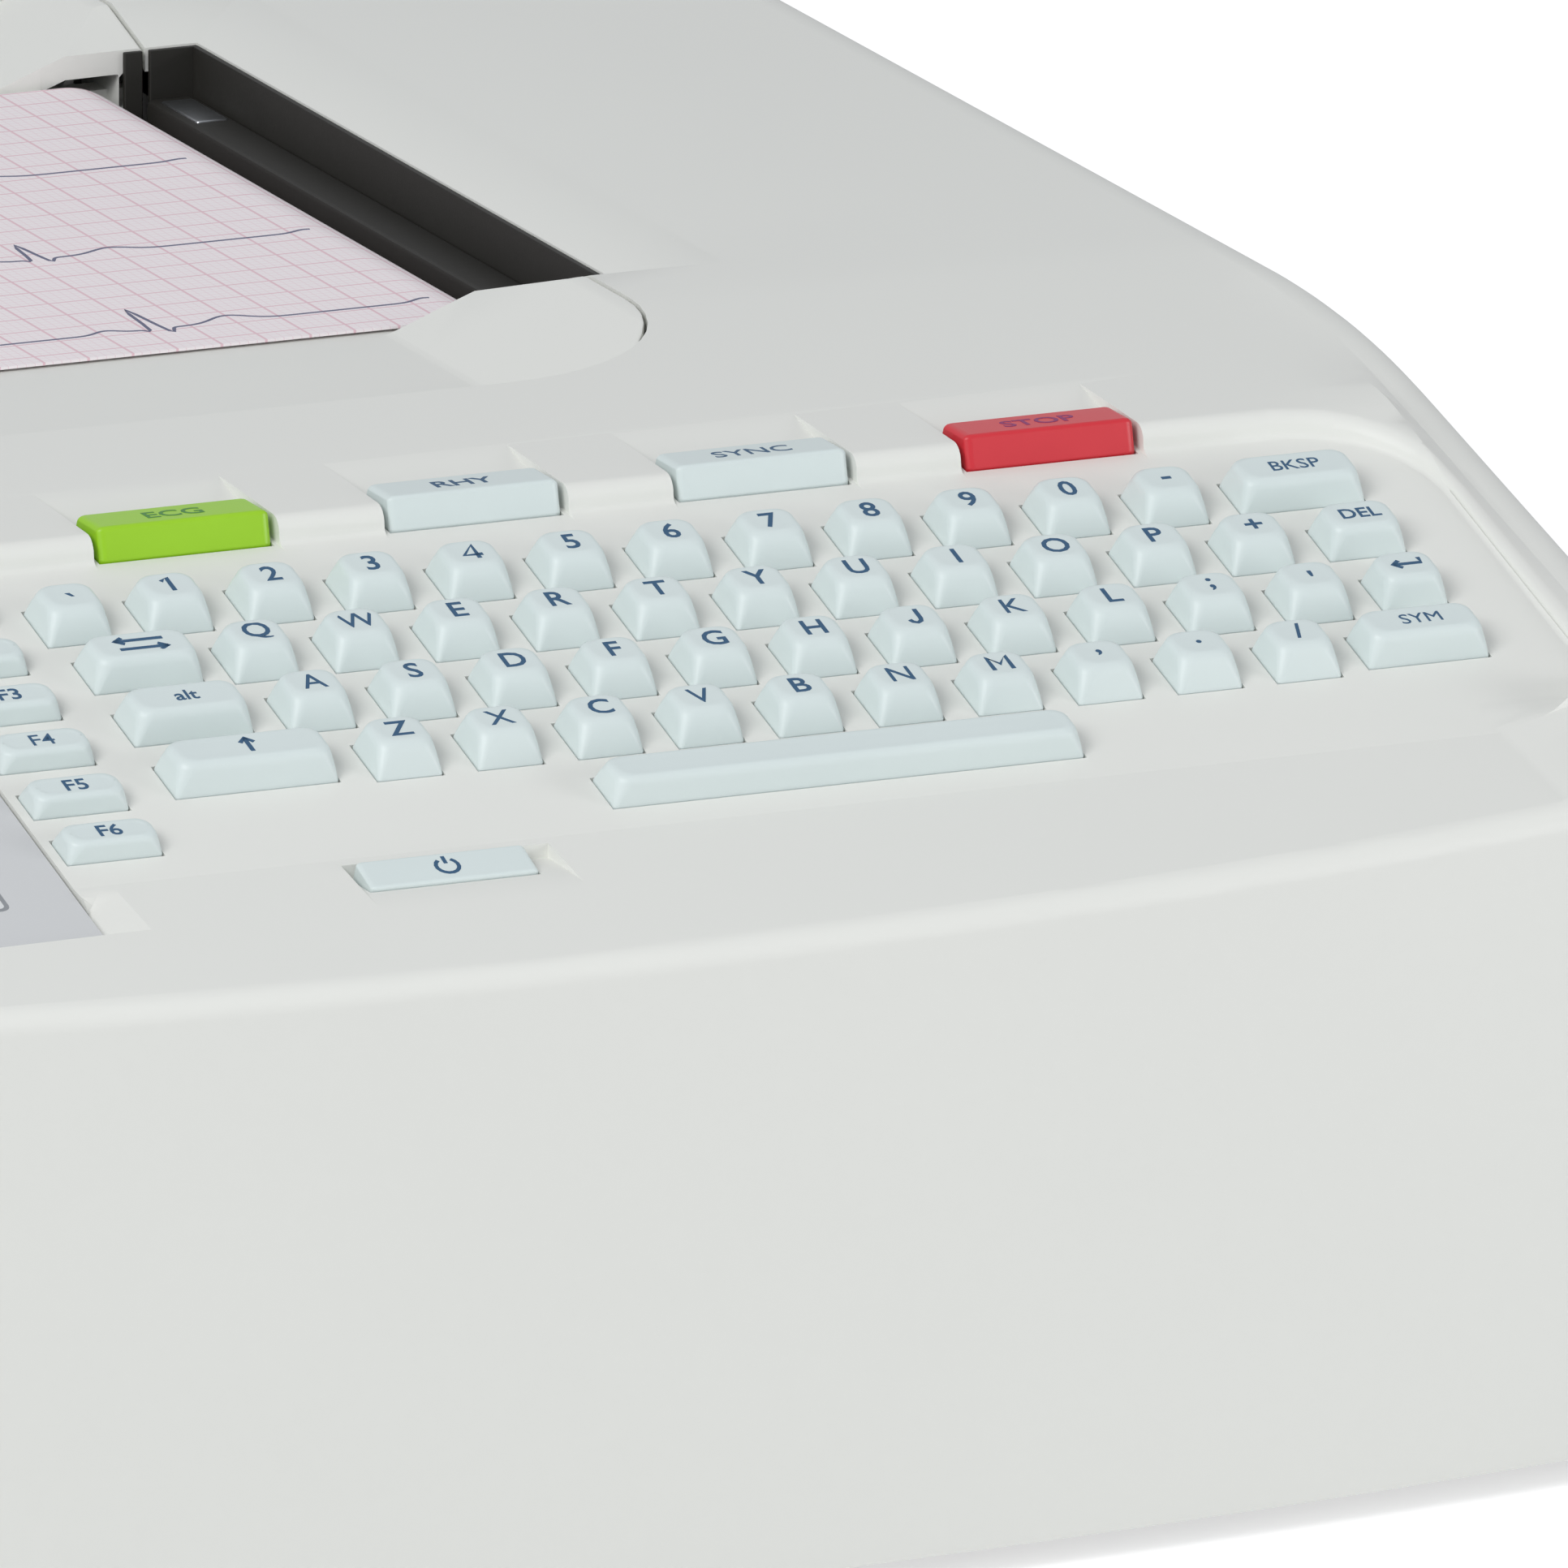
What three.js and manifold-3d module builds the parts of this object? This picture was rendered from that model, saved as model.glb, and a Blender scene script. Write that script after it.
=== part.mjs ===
// Resting ECG machine with a sloped keyboard, a display and a chart writer that feeds to the left.
// Millimetres, +X right, +Y back, +Z up. The origin is the centre of the footprint on the table.

import * as THREE from 'three';
import { mergeVertices } from 'three/addons/utils/BufferGeometryUtils.js';
import Module from 'manifold-3d';

const wasm = await Module();
wasm.setup();

// Driving dimensions of the whole machine
const machine = {
  width: 290, depth: 316, plateauHeight: 96.3, ridgeHeight: 68.1, skirtBottom: 3,
  wall: 2.6, sideLean: 1.2, frontLean: 4.5, frontBowRadius: 770,
  frontCorner: 24, rearCorner: 12, shoulderRadius: 8, shoulderLead: 0.4, rearEdgeRadius: 8,
};
const halfWidth = machine.width / 2;
const frontY = -machine.depth / 2;
const rearY = machine.depth / 2;
const topZ = machine.plateauHeight;
const ridgeY = frontY + machine.frontLean;

// Places kept from the right side, so that they follow a change of width
const fromRight = {
  board: 110, recess: 13, ledgeFlat: 28, crownFlat: 27, bay: 73, slotLeft: 85, slotRight: 67, platen: 83,
  rampTop: 75, rampFoot: 92, coverOpening: 92.2, cheekLeft: 96, cheekRight: 75.4, headPlate: 63.8, plateJog: 54.8,
  trayLeft: 249, trayRight: 73, trayCorner: 98, stack: 245, mainBoardLeft: 191, mainBoardRight: 17,
  supplyLeft: 53, supplyRight: 9, powerInlet: 37, networkJack: 77, dataPorts: 103,
};
// Places kept from the left side
const fromLeft = { window: 18, paperEnd: 6, rail: 6, battery: 77, speaker: 45, patientConnector: 85 };
// Places kept from the front
const fromFront = {
  board: 63.2, crease: 148.5, crest: 93, recessTop: 90, notchBack: 106, sideStart: 132, sideMiddle: 118,
  sideTurn: 108, mainBoardFront: 26, mainBoardBack: 150, speaker: 60, bay: 126, paper: 224,
};
// Places kept from the back
const fromRear = { bay: 14, battery: 90, supplyFront: 140, supplyBack: 40, latch: 92 };
// Heights kept from the flat top
const belowTop = {
  board: 13.4, crest: 2.7, sideMiddle: 1.2, sideTurn: 3, deck: 23.6, sideWall: 12.3, wall: 2.3, leftWall: 29.5,
  lip: 5.4, sunken: 6.6, skirt: 29.1, opening: 5, pocket: 3.7, cheek: 22.3, latch: 17.3,
  headBottom: 20.8, headTop: 8.3, headPlate: 22.3, frontPost: 24.8, rearPost: 5.3, tray: 66.3,
};

// Clearances used wherever two pieces meet
const gap = { seat: 0.3, slide: 0.4, key: 0.35, cover: 0.4, base: 0.6 };

// One overrun lets every cutter pass its surface
const over = 3;

// The crown, from the flat back half down to the rims beside the keyboard
const crown = {
  creaseY: frontY + fromFront.crease, crestY: frontY + fromFront.crest, crestHeight: topZ - belowTop.crest,
  flatHalf: halfWidth - fromRight.crownFlat, rimRise: 1.8, sideStartY: frontY + fromFront.sideStart,
  sideMiddleY: frontY + fromFront.sideMiddle, sideMiddleHeight: topZ - belowTop.sideMiddle,
  sideTurnY: frontY + fromFront.sideTurn, sideTurnHeight: topZ - belowTop.sideTurn, sideTilt: 13.7,
};

// The ledge in front of the keyboard, flat in the middle and rising to the side rims
const ledge = { tilt: 11.4, flatHalf: halfWidth - fromRight.ledgeFlat, sideRise: 0.25 };

// The tilted keyboard plane: u is across, v up the slope and w square to it
const board = {
  x: halfWidth - fromRight.board, y: frontY + fromFront.board, z: topZ - belowTop.board, tilt: 16.5,
  recessSide: halfWidth - fromRight.recess, recessTopY: frontY + fromFront.recessTop,
  recessRearCorner: 14, recessFrontCorner: 10, panel: 2.6,
};
const tilt = THREE.MathUtils.degToRad(board.tilt);
const ledgeRise = Math.tan(THREE.MathUtils.degToRad(ledge.tilt));
const sideFall = Math.tan(THREE.MathUtils.degToRad(crown.sideTilt));

// Keys
const key = {
  pitch: 11.08, rowPitch: 10.57, baseWidth: 7.2, baseDepth: 7.2, topWidth: 5.8, topDepth: 5,
  height: 3.4, topShift: 0.7, corner: 1.4, baseCorner: 1.1, edge: 0.6, shoulderShare: 0.8, sideShare: 0.7,
  wideTrim: 0.8, stemDepth: 2.8, flange: 0.8, flangeThickness: 1.4, middleRow: 1.554,
};

// Each row of caps: where its first cap stands, how many it has, and one wide cap at its end
const keyRows = {
  number_row_keys: { firstShare: -5.036, count: 12 },
  upper_letter_keys: { firstShare: -3.562, count: 11, endFrom: 79, endTo: 87.6 },
  home_row_keys: { firstShare: -3.397, count: 11 },
  lower_letter_keys: { firstShare: -2.933, count: 10, endFrom: 74.2, endTo: 87.7 },
};

// Wide keys: the row they stand in, their left and right ends across
const wideKeys = {
  backspace_key: { row: 0, from: 73.6, to: 87.5 },
  tab_key: { row: 1, from: -58.2, to: -46.2 },
  alt_key: { row: 2, from: -58.1, to: -45 },
  enter_key: { row: 2, from: 80.4, to: 87.7 },
  shift_key: { row: 3, from: -57.9, to: -40 },
};
const spaceBar = { from: -14.2, to: 37.9, v: -25.7, depth: 6, height: 3, topInset: 0.7 };
const sideKeys = {
  uFrom: -73.8, uTo: -63.4, pitch: 9.1, firstFront: 17.3, depth: 4.8, height: 2.2, topInset: 0.4, count: 6,
};

// Long function keys on the crest
const functionKeys = {
  names: ['green_function_key', 'left_white_function_key', 'right_white_function_key', 'red_function_key'],
  first: -38.1, pitch: 32.15, width: 19, vFront: 28, vFold: 29.8, vBack: 35.2, foldRise: 3, backRise: 1.4,
  chamfer: 0.8, notchSide: 0.7, notchBackY: frontY + fromFront.notchBack, notchDrop: 1.9, notchToe: 0.2,
};
const powerKey = {
  u: -36.1, width: 18.4, vFront: -39.5, vBack: -34.8, frontRise: 0.6, backRise: 1, chamfer: 0.5,
  notchU: -35, notchWidth: 22.6, notchFront: -44.4, notchBack: -34.4, notchDepth: 1.3, notchRise: 1.5,
};

// Display, with its left edge kept from the left side of the machine
const screen = {
  uFrom: fromLeft.window - halfWidth - board.x, uTo: -75.3, vFrom: -42.6, vTo: 26.5,
  windowThickness: 1.1, windowSink: 0.1, border: 7, moduleBorder: 3, moduleThickness: 6,
};
const facet = { run: 4.4, drop: 1.2, rise: 1, rearInner: -36.2, rearOuter: -32.1 };

// Writer bay, cover and paper
const bay = {
  right: halfWidth - fromRight.bay, front: frontY + fromFront.bay, rear: rearY - fromRear.bay, corner: 24,
  deckTop: topZ - belowTop.deck, deckThickness: 2, ledgeWidth: 4, ledgeThickness: 2.4, wallThickness: 2.5,
  wallTop: topZ - belowTop.wall, sideWallTop: topZ - belowTop.sideWall, leftWallTop: topZ - belowTop.leftWall,
};
const paper = {
  width: 108, centreY: frontY + fromFront.paper, thickness: 0.3, endX: fromLeft.paperEnd - halfWidth,
  foldLength: 140, stackLeft: halfWidth - fromRight.stack, stackHeight: 23,
};
const slot = {
  left: halfWidth - fromRight.slotLeft, right: halfWidth - fromRight.slotRight, spareLength: 1,
  bevelWidth: 9, bevelDrop: 2.8, lipBottom: topZ - belowTop.lip, lipMargin: 1.4,
};
const cover = {
  sunkenTop: topZ - belowTop.sunken, rampTop: halfWidth - fromRight.rampTop, rampFoot: halfWidth - fromRight.rampFoot,
  plate: 2.6, skirtBottom: topZ - belowTop.skirt, openLeft: halfWidth - fromRight.coverOpening,
  openTop: topZ - belowTop.opening, platenRoom: 1.2, pocketTop: topZ - belowTop.pocket, cheekThickness: 3.4,
  cheekLeft: halfWidth - fromRight.cheekLeft, cheekRight: halfWidth - fromRight.cheekRight,
  cheekBottom: topZ - belowTop.cheek,
};
const rail = { thickness: 2.5, length: 186, left: fromLeft.rail - halfWidth };
const platen = {
  x: halfWidth - fromRight.platen, radius: 8, shaftRadius: 3, bearingRadius: 6, cheekGap: 3.4, teeth: 20, module: 0.8,
};
const gear = {
  width: 4, addendum: 0.6, dedendum: 0.76, toothTurnShares: [-0.3, -0.13, 0.13, 0.3],
};
const pinion = { teeth: 12, angle: -14, bore: 1 };
const motor = { radius: 10, length: 16, shaftRadius: 1, shaftRoot: 1, holeSpare: 1 };
const latch = {
  y: rearY - fromRear.latch, z: topZ - belowTop.latch, inset: 0.2, width: 24, height: 9, depth: 3.9,
  lip: 1.2, lipThickness: 1.5,
};
const head = {
  thickness: 6.4, bottom: topZ - belowTop.headBottom, top: topZ - belowTop.headTop, stripeRadius: 0.9,
  stripeRise: 4, paperGap: 0.3,
};
const frame = {
  thickness: 1.5, headX: halfWidth - fromRight.headPlate, headBottom: topZ - belowTop.headPlate,
  jogX: halfWidth - fromRight.plateJog, jogDrop: 5.6, footWidth: 12, motorHalfWidth: 7.5, motorDrop: 27,
};
const headSpring = { radius: 3.2, bore: 2.2 };
const tray = {
  wall: 2, floor: topZ - belowTop.tray, left: halfWidth - fromRight.trayLeft, right: halfWidth - fromRight.trayRight,
  cornerLeft: halfWidth - fromRight.trayCorner,
};

// Base and what stands on it
const base = {
  thickness: 3, rimHeight: 12, rimThickness: 2, bossRadius: 4, bossInsetX: 11, bossInsetFront: 30, bossInsetRear: 8,
  frontPostTop: topZ - belowTop.frontPost, rearPostTop: topZ - belowTop.rearPost,
};
const screw = { radius: 1.6, headRadius: 3, headHeight: 1.6, length: 14, sink: 0.2, clearance: 0.3 };
const foot = { radius: 8, sink: 1.1, insetX: 30, insetY: 32, sides: 20 };
const battery = {
  length: 96, width: 84, height: 19, x: fromLeft.battery - halfWidth, y: rearY - fromRear.battery,
  hatchMargin: 6, hatchThickness: 1.6,
};
const mainBoard = {
  left: halfWidth - fromRight.mainBoardLeft, right: halfWidth - fromRight.mainBoardRight,
  front: frontY + fromFront.mainBoardFront, back: frontY + fromFront.mainBoardBack,
  bottom: 12, thickness: 1.6, postRadius: 3, postInset: 6,
};
const supply = {
  left: halfWidth - fromRight.supplyLeft, right: halfWidth - fromRight.supplyRight,
  front: rearY - fromRear.supplyFront, back: rearY - fromRear.supplyBack, height: 36,
};
const speaker = {
  x: fromLeft.speaker - halfWidth, y: frontY + fromFront.speaker, radius: 18, neck: 10, height: 12, rim: 3,
  shoulder: 7.2,
};

// Sockets in the rear wall
const sockets = {
  power_inlet: {
    x: halfWidth - fromRight.powerInlet, z: 22, width: 27, height: 20, depth: 24,
    hollowWidth: 22, hollowHeight: 15, hollowDepth: 16, mouths: 1,
  },
  network_jack: {
    x: halfWidth - fromRight.networkJack, z: 19, width: 16, height: 14, depth: 18,
    hollowWidth: 12, hollowHeight: 9, hollowDepth: 12, mouths: 1,
  },
  data_ports: {
    x: halfWidth - fromRight.dataPorts, z: 20, width: 15, height: 16, depth: 18,
    hollowWidth: 12.4, hollowHeight: 5, hollowDepth: 12, mouths: 2,
  },
  patient_connector: {
    x: fromLeft.patientConnector - halfWidth, z: 21, width: 44, height: 17, depth: 18,
    hollowWidth: 34, hollowHeight: 10, hollowDepth: 10, mouths: 1,
  },
};

// Solids and groups
function solidOf(geometry) {
  const bare = geometry.clone();
  bare.deleteAttribute('normal');
  bare.deleteAttribute('uv');
  const merged = mergeVertices(bare, 1e-4);
  return new wasm.Manifold(new wasm.Mesh({
    numProp: 3,
    vertProperties: new Float32Array(merged.attributes.position.array),
    triVerts: new Uint32Array(merged.index.array),
  }));
}

// Edges shorter than this are closed up before a solid is written
const shortestEdge = 0.01;

function geometryOf(solid) {
  const mesh = solid.simplify(shortestEdge).getMesh();
  const geometry = new THREE.BufferGeometry();
  geometry.setAttribute('position', new THREE.BufferAttribute(new Float32Array(mesh.vertProperties), 3));
  geometry.setIndex(Array.from(mesh.triVerts));
  geometry.computeVertexNormals();
  return geometry;
}

function joined(parts) {
  return parts.reduce((sum, part) => sum.add(part));
}

function block(x0, x1, y0, y1, z0, z1) {
  const geometry = new THREE.BoxGeometry(x1 - x0, y1 - y0, z1 - z0);
  geometry.translate((x0 + x1) / 2, (y0 + y1) / 2, (z0 + z1) / 2);
  return solidOf(geometry);
}

function upright(radius, x, y, z0, z1, sides = 16) {
  const geometry = new THREE.CylinderGeometry(radius, radius, z1 - z0, sides);
  geometry.rotateX(Math.PI / 2);
  geometry.translate(x, y, (z0 + z1) / 2);
  return solidOf(geometry);
}

function alongY(radius, x, z, y0, y1, sides = 24) {
  const geometry = new THREE.CylinderGeometry(radius, radius, y1 - y0, sides);
  geometry.translate(x, (y0 + y1) / 2, z);
  return solidOf(geometry);
}

function alongX(radius, y, z, x0, x1, sides = 16) {
  const geometry = new THREE.CylinderGeometry(radius, radius, x1 - x0, sides);
  geometry.rotateZ(Math.PI / 2);
  geometry.translate((x0 + x1) / 2, y, z);
  return solidOf(geometry);
}

function shapeOf(points) {
  return new THREE.Shape(points.map(([a, b]) => new THREE.Vector2(a, b)));
}

function prismZ(points, z0, z1) {
  const geometry = new THREE.ExtrudeGeometry(shapeOf(points), { depth: z1 - z0, bevelEnabled: false });
  geometry.translate(0, 0, z0);
  return solidOf(geometry);
}

// A profile in Y and Z carried along X
function prismX(points, x0, x1) {
  const geometry = new THREE.ExtrudeGeometry(shapeOf(points), { depth: x1 - x0, bevelEnabled: false });
  geometry.applyMatrix4(new THREE.Matrix4().set(0, 0, 1, x0, 1, 0, 0, 0, 0, 1, 0, 0, 0, 0, 0, 1));
  return solidOf(geometry);
}

// A profile in X and Z carried along Y
function prismY(points, y0, y1) {
  const flipped = points.map(([x, z]) => [z, x]);
  const geometry = new THREE.ExtrudeGeometry(shapeOf(flipped), { depth: y1 - y0, bevelEnabled: false });
  geometry.applyMatrix4(new THREE.Matrix4().set(0, 1, 0, 0, 0, 0, 1, y0, 1, 0, 0, 0, 0, 0, 0, 1));
  return solidOf(geometry);
}

// A skin over rings of equal length, each convex, closed by a fan at both ends
function loft(rings) {
  const count = rings[0].length;
  const position = rings.flat().flat();
  const index = [];
  for (let r = 0; r + 1 < rings.length; r += 1) {
    for (let i = 0; i < count; i += 1) {
      const a = r * count + i;
      const b = r * count + (i + 1) % count;
      index.push(a, b, b + count, a, b + count, a + count);
    }
  }
  const last = (rings.length - 1) * count;
  for (let i = 1; i + 1 < count; i += 1) {
    index.push(0, i + 1, i);
    index.push(last, last + i, last + i + 1);
  }
  const geometry = new THREE.BufferGeometry();
  geometry.setAttribute('position', new THREE.Float32BufferAttribute(position, 3));
  geometry.setIndex(index);
  return solidOf(geometry);
}

// Turns a solid in the keyboard plane into its place in the machine
function onBoard(solid) {
  const matrix = new THREE.Matrix4().makeTranslation(board.x, board.y, board.z);
  matrix.multiply(new THREE.Matrix4().makeRotationX(tilt));
  return solid.transform(matrix.elements.slice());
}

// A quarter circle, counted anticlockwise from the rear right
function cornerArc(x, y, radius, quarter, steps) {
  const points = [];
  for (let i = 0; i <= steps; i += 1) {
    const angle = (quarter + i / steps) * Math.PI / 2;
    points.push([x + radius * Math.cos(angle), y + radius * Math.sin(angle)]);
  }
  return points;
}

function roundedRect(x0, x1, y0, y1, radius, steps = 2) {
  return [
    ...cornerArc(x1 - radius, y1 - radius, radius, 0, steps),
    ...cornerArc(x0 + radius, y1 - radius, radius, 1, steps),
    ...cornerArc(x0 + radius, y0 + radius, radius, 2, steps),
    ...cornerArc(x1 - radius, y0 + radius, radius, 3, steps),
  ];
}

// Heights of the outer surface
function boardHeight(y) {
  return board.z + (y - board.y) * Math.tan(tilt);
}

function ledgeHeight(y) {
  return machine.ridgeHeight + (y - ridgeY) * ledgeRise;
}

function slopeHeight(y) {
  if (y >= crown.creaseY) return topZ;
  const share = (y - crown.crestY) / (crown.creaseY - crown.crestY);
  return crown.crestHeight + share * (machine.plateauHeight - crown.crestHeight);
}

// Height of the shoulders: level with the flat top, then falling beside the keyboard
function sideHeight(y) {
  const { sideStartY, sideMiddleY, sideMiddleHeight, sideTurnY, sideTurnHeight } = crown;
  if (y >= sideStartY) return topZ;
  if (y >= sideMiddleY) {
    return topZ + (sideMiddleHeight - topZ) * (sideStartY - y) / (sideStartY - sideMiddleY);
  }
  if (y >= sideTurnY) {
    const share = (sideMiddleY - y) / (sideMiddleY - sideTurnY);
    return sideMiddleHeight + share * (sideTurnHeight - sideMiddleHeight);
  }
  return sideTurnHeight - (sideTurnY - y) * sideFall;
}

// Height of the rim along the edge of the recess
function rimHeight(y) {
  return y >= crown.creaseY ? topZ : Math.min(slopeHeight(y), boardHeight(y) + crown.rimRise);
}

// Where the rim leaves the slope of the crown
function rimTopY() {
  const slopeRise = (topZ - crown.crestHeight) / (crown.creaseY - crown.crestY);
  const slopeAtZero = topZ - crown.creaseY * slopeRise;
  return (slopeAtZero - boardHeight(0) - crown.rimRise) / (Math.tan(tilt) - slopeRise);
}

// Slices of the crown from the back to the front: place, height in the middle, at the rim and at the shoulder
function crownLine() {
  const line = [];
  const steps = 3;
  for (let i = 0; i < steps; i += 1) {
    const angle = (i / steps) * Math.PI / 2;
    const r = machine.rearEdgeRadius;
    const z = topZ - r * (1 - Math.sin(angle));
    line.push([rearY - r * (1 - Math.cos(angle)), z, z, z]);
  }
  line.push([rearY - machine.rearEdgeRadius, topZ, topZ, topZ]);
  const recessEnd = board.recessTopY - over;
  const places = [crown.creaseY, crown.sideStartY, crown.sideMiddleY, crown.sideTurnY, rimTopY(), recessEnd];
  places.forEach((y) => line.push([y, slopeHeight(y), rimHeight(y), sideHeight(y)]));
  const meet = recessMeetY();
  const last = frontY - over;
  line.push([meet, rimHeight(meet), rimHeight(meet), sideHeight(meet)]);
  line.push([last, ledgeHeight(last) + crown.rimRise, rimHeight(last), sideHeight(last)]);
  return line;
}

// One slice of the crown across the machine, with its rounded shoulders
function crownSlice([y, middle, rim, shoulder], bottom) {
  const radius = machine.shoulderRadius;
  const upper = halfWidth - machine.sideLean + machine.shoulderLead;
  const steps = 5;
  const slice = [[halfWidth + over, y, bottom]];
  for (let side = 0; side < 2; side += 1) {
    for (let i = 0; i <= steps; i += 1) {
      const angle = (side + i / steps) * Math.PI / 2;
      const centre = side ? radius - upper : upper - radius;
      slice.push([centre + radius * Math.cos(angle), y, shoulder - radius + radius * Math.sin(angle)]);
    }
    if (!side) {
      slice.push([board.recessSide, y, rim], [crown.flatHalf, y, middle]);
      slice.push([-crown.flatHalf, y, middle], [-board.recessSide, y, rim]);
    }
  }
  slice.push([-halfWidth - over, y, bottom]);
  return slice;
}

// The footprint at one height: the bowed front and the sides lean inwards as they rise
function footprint(z, inset) {
  const rise = (z - machine.skirtBottom) / (machine.ridgeHeight - machine.skirtBottom);
  const front = frontY + machine.frontLean * rise + inset;
  const fullRise = (z - machine.skirtBottom) / (machine.plateauHeight - machine.skirtBottom);
  const half = halfWidth - machine.sideLean * fullRise - inset;
  const back = rearY - inset;
  const bow = machine.frontBowRadius;
  const corner = machine.frontCorner;
  const points = [];
  const steps = 4;
  for (let i = 0; i <= steps; i += 1) {
    const angle = (i / steps) * Math.PI / 2;
    const r = machine.rearCorner;
    points.push([half - r + r * Math.cos(angle), back - r + r * Math.sin(angle)]);
  }
  for (let i = 0; i <= steps; i += 1) {
    const angle = (1 + i / steps) * Math.PI / 2;
    const r = machine.rearCorner;
    points.push([r - half + r * Math.cos(angle), back - r + r * Math.sin(angle)]);
  }
  const reach = Math.asin((half - corner) / (bow - corner));
  const centreY = front + bow;
  const cornerY = centreY - (bow - corner) * Math.cos(reach);
  for (let i = 0; i <= steps; i += 1) {
    const angle = Math.PI + (i / steps) * (Math.PI / 2 - reach);
    points.push([corner - half + corner * Math.cos(angle), cornerY + corner * Math.sin(angle)]);
  }
  const bowSteps = 12;
  for (let i = 1; i < bowSteps; i += 1) {
    const angle = -reach + (2 * reach * i) / bowSteps;
    points.push([bow * Math.sin(angle), centreY - bow * Math.cos(angle)]);
  }
  for (let i = 0; i <= steps; i += 1) {
    const angle = 1.5 * Math.PI + reach + (i / steps) * (Math.PI / 2 - reach);
    points.push([half - corner + corner * Math.cos(angle), cornerY + corner * Math.sin(angle)]);
  }
  return points;
}

function footprintBody(z0, z1, inset) {
  return loft([z0, z1].map((z) => footprint(z, inset).map(([x, y]) => [x, y, z])));
}

function outerBody() {
  const slices = crownLine().map((place) => crownSlice(place, machine.skirtBottom - over));
  const top = machine.plateauHeight + over;
  return loft(slices).intersect(footprintBody(machine.skirtBottom, top, 0));
}

const outer = outerBody();

// The hollow inside: under the plateau, the slope and the keyboard panel
function innerBody() {
  const panelDrop = board.panel / Math.cos(tilt);
  const under = (y) => boardHeight(y) - panelDrop;
  const slopeRise = (machine.plateauHeight - crown.crestHeight) / (crown.creaseY - crown.crestY);
  const slopeAtZero = topZ - crown.creaseY * slopeRise;
  const meetY = (slopeAtZero - machine.wall - under(0)) / (Math.tan(tilt) - slopeRise);
  const ceiling = machine.plateauHeight - machine.wall;
  const profile = [
    [rearY, machine.skirtBottom - over], [rearY, ceiling], [crown.creaseY, ceiling],
    [meetY, under(meetY)], [frontY, under(frontY)], [frontY, machine.skirtBottom - over],
  ];
  const top = machine.plateauHeight;
  const half = halfWidth - machine.wall - machine.sideLean;
  const chamfer = machine.shoulderRadius - machine.wall;
  const hollow = footprintBody(machine.skirtBottom - over, top, machine.wall);
  const body = prismX(profile, -halfWidth, halfWidth).intersect(hollow);
  // The ceiling keeps its wall under the rounded shoulders
  const shoulders = [1, -1].map((side) => {
    const rings = crownLine().map(([y, , , z]) => [
      [side * (half + over), y, z - machine.wall - chamfer - over],
      [side * (half + over), y, z + over],
      [side * (half - chamfer - over), y, z + over],
    ]);
    const ordered = side > 0 ? rings : rings.map((ring) => ring.slice().reverse());
    return loft(ordered);
  });
  return body.subtract(joined(shoulders));
}

// Recess that holds the keyboard panel, and the ledge that runs from it to the front ridge
function recessBody() {
  const { recessSide, recessTopY, recessRearCorner, recessFrontCorner } = board;
  const top = machine.plateauHeight + over;
  const meet = recessMeetY();
  const steps = 4;
  const outline = [
    ...cornerArc(recessSide - recessRearCorner, recessTopY - recessRearCorner, recessRearCorner, 0, steps),
    ...cornerArc(recessRearCorner - recessSide, recessTopY - recessRearCorner, recessRearCorner, 1, steps),
    ...cornerArc(recessFrontCorner - recessSide, meet + recessFrontCorner, recessFrontCorner, 2, steps),
    ...cornerArc(recessSide - recessFrontCorner, meet + recessFrontCorner, recessFrontCorner, 3, steps),
  ];
  const floor = [
    [recessTopY + over, top], [recessTopY + over, boardHeight(recessTopY + over)],
    [meet - over, boardHeight(meet - over)], [meet - over, top],
  ];
  const pocket = prismZ(outline, 0, top).intersect(prismX(floor, -halfWidth, halfWidth));
  const sideZ = ledge.sideRise * (halfWidth + over - ledge.flatHalf);
  const section = (y) => {
    const z = ledgeHeight(y);
    const high = z + sideZ;
    const side = halfWidth + over;
    return [[-side, y, high], [-ledge.flatHalf, y, z], [ledge.flatHalf, y, z], [side, y, high], [side, y, top],
      [-side, y, top]];
  };
  return pocket.add(loft([section(meet), section(frontY - over)]));
}

// Where the keyboard panel meets the front ledge
function recessMeetY() {
  return (ledgeHeight(0) - boardHeight(0)) / (Math.tan(tilt) - ledgeRise);
}

// Keys
function keyHole(u0, u1, v0, v1) {
  return block(u0 - gap.key, u1 + gap.key, v0 - gap.key, v1 + gap.key, -board.panel - over, key.height + over);
}

// Flanges lie under the panel and hold the caps in
const flangeTop = -key.stemDepth - gap.seat;
const flangeBottom = flangeTop - key.flangeThickness;

function flangeUnder(u0, u1, v0, v1) {
  return block(u0 - key.flange, u1 + key.flange, v0 - key.flange, v1 + key.flange, flangeBottom, flangeTop);
}

// A cap with sloped sides on a straight stem that reaches into its flange
function cap(u0, u1, v0, v1, height, insetU, insetFront, insetBack) {
  const ring = (share, spare, w, corner) => (
    roundedRect(u0 + insetU * share + spare, u1 - insetU * share - spare, v0 + insetFront * share + spare,
      v1 - insetBack * share - spare, corner, 1).map(([u, v]) => [u, v, w]));
  return loft([
    ring(0, 0, (flangeTop + flangeBottom) / 2, key.baseCorner),
    ring(0, 0, 0, key.baseCorner),
    ring(key.sideShare, 0, height * key.shoulderShare, key.corner),
    ring(1, key.edge / 2, height, key.corner),
  ]);
}

const capInset = (key.baseWidth - key.topWidth) / 2;
const capFront = (key.baseDepth - key.topDepth) / 2 + key.topShift;
const capBack = (key.baseDepth - key.topDepth) / 2 - key.topShift;

function rowV(row) {
  return (key.middleRow - row) * key.rowPitch;
}

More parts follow.
